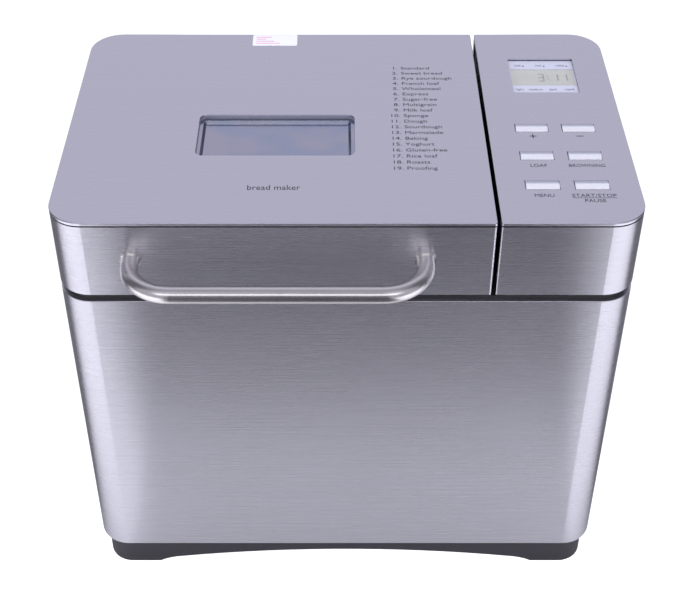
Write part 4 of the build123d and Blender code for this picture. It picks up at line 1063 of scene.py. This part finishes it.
class BREAD_OT_studio(bpy.types.Operator):
    """Pale floor, soft lights, background and camera"""

    bl_idname = "bread.studio"
    bl_label = "Studio"

    def execute(self, context):
        settings = context.scene.bread_studio
        self.floor(settings)
        self.background(context.scene)
        for lamp in LAMPS:
            self.lamp(*lamp)
        self.camera(context.scene, settings)
        context.scene.view_settings.view_transform = "Standard"
        return {"FINISHED"}

    def floor(self, settings):
        """Pale to the eye; as a reflector dark ahead, paler near the body and in wedges beside it."""
        shape = bmesh.new()
        bmesh.ops.create_grid(shape, x_segments=8, y_segments=8, size=6.0)
        mesh = bpy.data.meshes.new("studio_floor")
        shape.to_mesh(mesh)
        shape.free()
        finish = Finish("studio_floor")
        x, y, _ = finish.axes(finish.place())
        seen = finish.add("ShaderNodeLightPath", output="Is Camera Ray")
        near = y.ramp(-0.39, -0.23) * abs(x).ramp(0.16, 0.24, 0.70, 0.15)
        wedge_edge = y.maths("MAXIMUM", 0.103 - y * 0.3, 0.167)
        wedges = (abs(x - 0.01) - wedge_edge).ramp(-0.014, 0.012) * y.ramp(-0.15, 0.0, 1.0, 0.0)
        pale = near.maths("MAXIMUM", near, wedges)
        glow = finish.mix(wedges, (0.0, 0.0, 0.0), (0.12, 0.12, 0.125))
        mesh.materials.append(
            finish.surface(
                Base_Color=finish.mix(pale, (0.09, 0.09, 0.095), settings.floor_colour),
                Roughness=0.7,
                Specular_IOR_Level=0.0,
                Emission_Color=finish.mix(seen, glow, (0.9, 0.9, 0.9)),
                Emission_Strength=1.0,
            )
        )
        floor = bpy.data.objects.new("studio_floor", mesh)
        bpy.context.scene.collection.objects.link(floor)

    def background(self, scene):
        """Pale to the eye; as light dim ahead, brighter behind, overhead and in two wedges ahead."""
        world = bpy.data.worlds.new("studio")
        world.use_nodes = True
        scene.world = world
        nodes = Nodes(world.node_tree)
        x, y, z = nodes.axes(nodes.add("ShaderNodeTexCoord", output="Generated"))
        behind = y.ramp(0.2, 0.6, 0.15, 0.74)
        wedges = (abs(x - 0.008) + y * 0.242).ramp(0.0, 0.01) * y.ramp(-0.3, -0.12, 1.0, 0.0)
        overhead = z.ramp(0.75, 1.0, 0.0, 0.3)
        level = behind + wedges * 0.42 + overhead
        seen = nodes.add("ShaderNodeLightPath", output="Is Camera Ray")
        lit = nodes.add(
            "ShaderNodeVectorMath", {"operation": "SCALE"}, {0: (0.98, 0.97, 1.12), "Scale": level}
        )
        colour = nodes.mix(seen, lit, (0.96, 0.96, 0.97))
        light = nodes.add("ShaderNodeBackground", sockets={"Color": colour})
        nodes.add("ShaderNodeOutputWorld", sockets={"Surface": light})

    def lamp(self, name, place, target, size, power, mirrored):
        lamp = bpy.data.lights.new(name, "AREA")
        lamp.shape = "RECTANGLE"
        lamp.size, lamp.size_y = size
        lamp.energy = power
        lamp.color = (1.0, 0.99, 1.05)
        holder = bpy.data.objects.new(name, lamp)
        holder.location = place
        aim = Vector(target) - Vector(place)
        holder.rotation_euler = aim.to_track_quat("-Z", "Y").to_euler()
        holder.visible_glossy = mirrored
        bpy.context.scene.collection.objects.link(holder)

    def camera(self, scene, settings):
        camera = bpy.data.cameras.new("camera")
        camera.lens = settings.camera_lens
        camera.sensor_width = 36.0
        camera.shift_x = settings.camera_shift
        holder = bpy.data.objects.new("camera", camera)
        holder.location = settings.camera_place
        holder.rotation_euler = (math.pi / 2 - settings.camera_pitch, 0, 0)
        scene.collection.objects.link(holder)
        scene.camera = holder


OPERATORS = (
    BREAD_OT_outer_steel,
    BREAD_OT_inner_metal,
    BREAD_OT_handle,
    BREAD_OT_plastics,
    BREAD_OT_window,
    BREAD_OT_keys,
    BREAD_OT_display,
    BREAD_OT_programme_list,
    BREAD_OT_product_line,
    BREAD_OT_key_labels,
    BREAD_OT_card_print,
    BREAD_OT_sticker,
    BREAD_OT_heater,
    BREAD_OT_pan,
    BREAD_OT_motor,
    BREAD_OT_electrics,
    BREAD_OT_studio,
)
SETTINGS = {
    "bread_steel": SteelSettings,
    "bread_print": PrintSettings,
    "bread_display": DisplaySettings,
    "bread_studio": StudioSettings,
}


class BREAD_PT_panel(bpy.types.Panel):
    """Lists the bread machine's operators and settings"""

    bl_idname = "BREAD_PT_panel"
    bl_label = "Bread Machine"
    bl_space_type = "VIEW_3D"
    bl_region_type = "UI"
    bl_category = "Bread Machine"

    def draw(self, context):
        for name, group in SETTINGS.items():
            column = self.layout.column()
            for setting in group.__annotations__:
                column.prop(getattr(context.scene, name), setting)
        for operator in OPERATORS:
            self.layout.operator(operator.bl_idname)


def register():
    for name, group in SETTINGS.items():
        bpy.utils.register_class(group)
        setattr(bpy.types.Scene, name, PointerProperty(type=group))
    for kind in (*OPERATORS, BREAD_PT_panel):
        bpy.utils.register_class(kind)


def unregister():
    for kind in (BREAD_PT_panel, *reversed(OPERATORS)):
        bpy.utils.unregister_class(kind)
    for name, group in SETTINGS.items():
        delattr(bpy.types.Scene, name)
        bpy.utils.unregister_class(group)


def main():
    register()
    for operator in OPERATORS:
        group, name = operator.bl_idname.split(".")
        getattr(getattr(bpy.ops, group), name)()


if __name__ == "__main__":
    main()
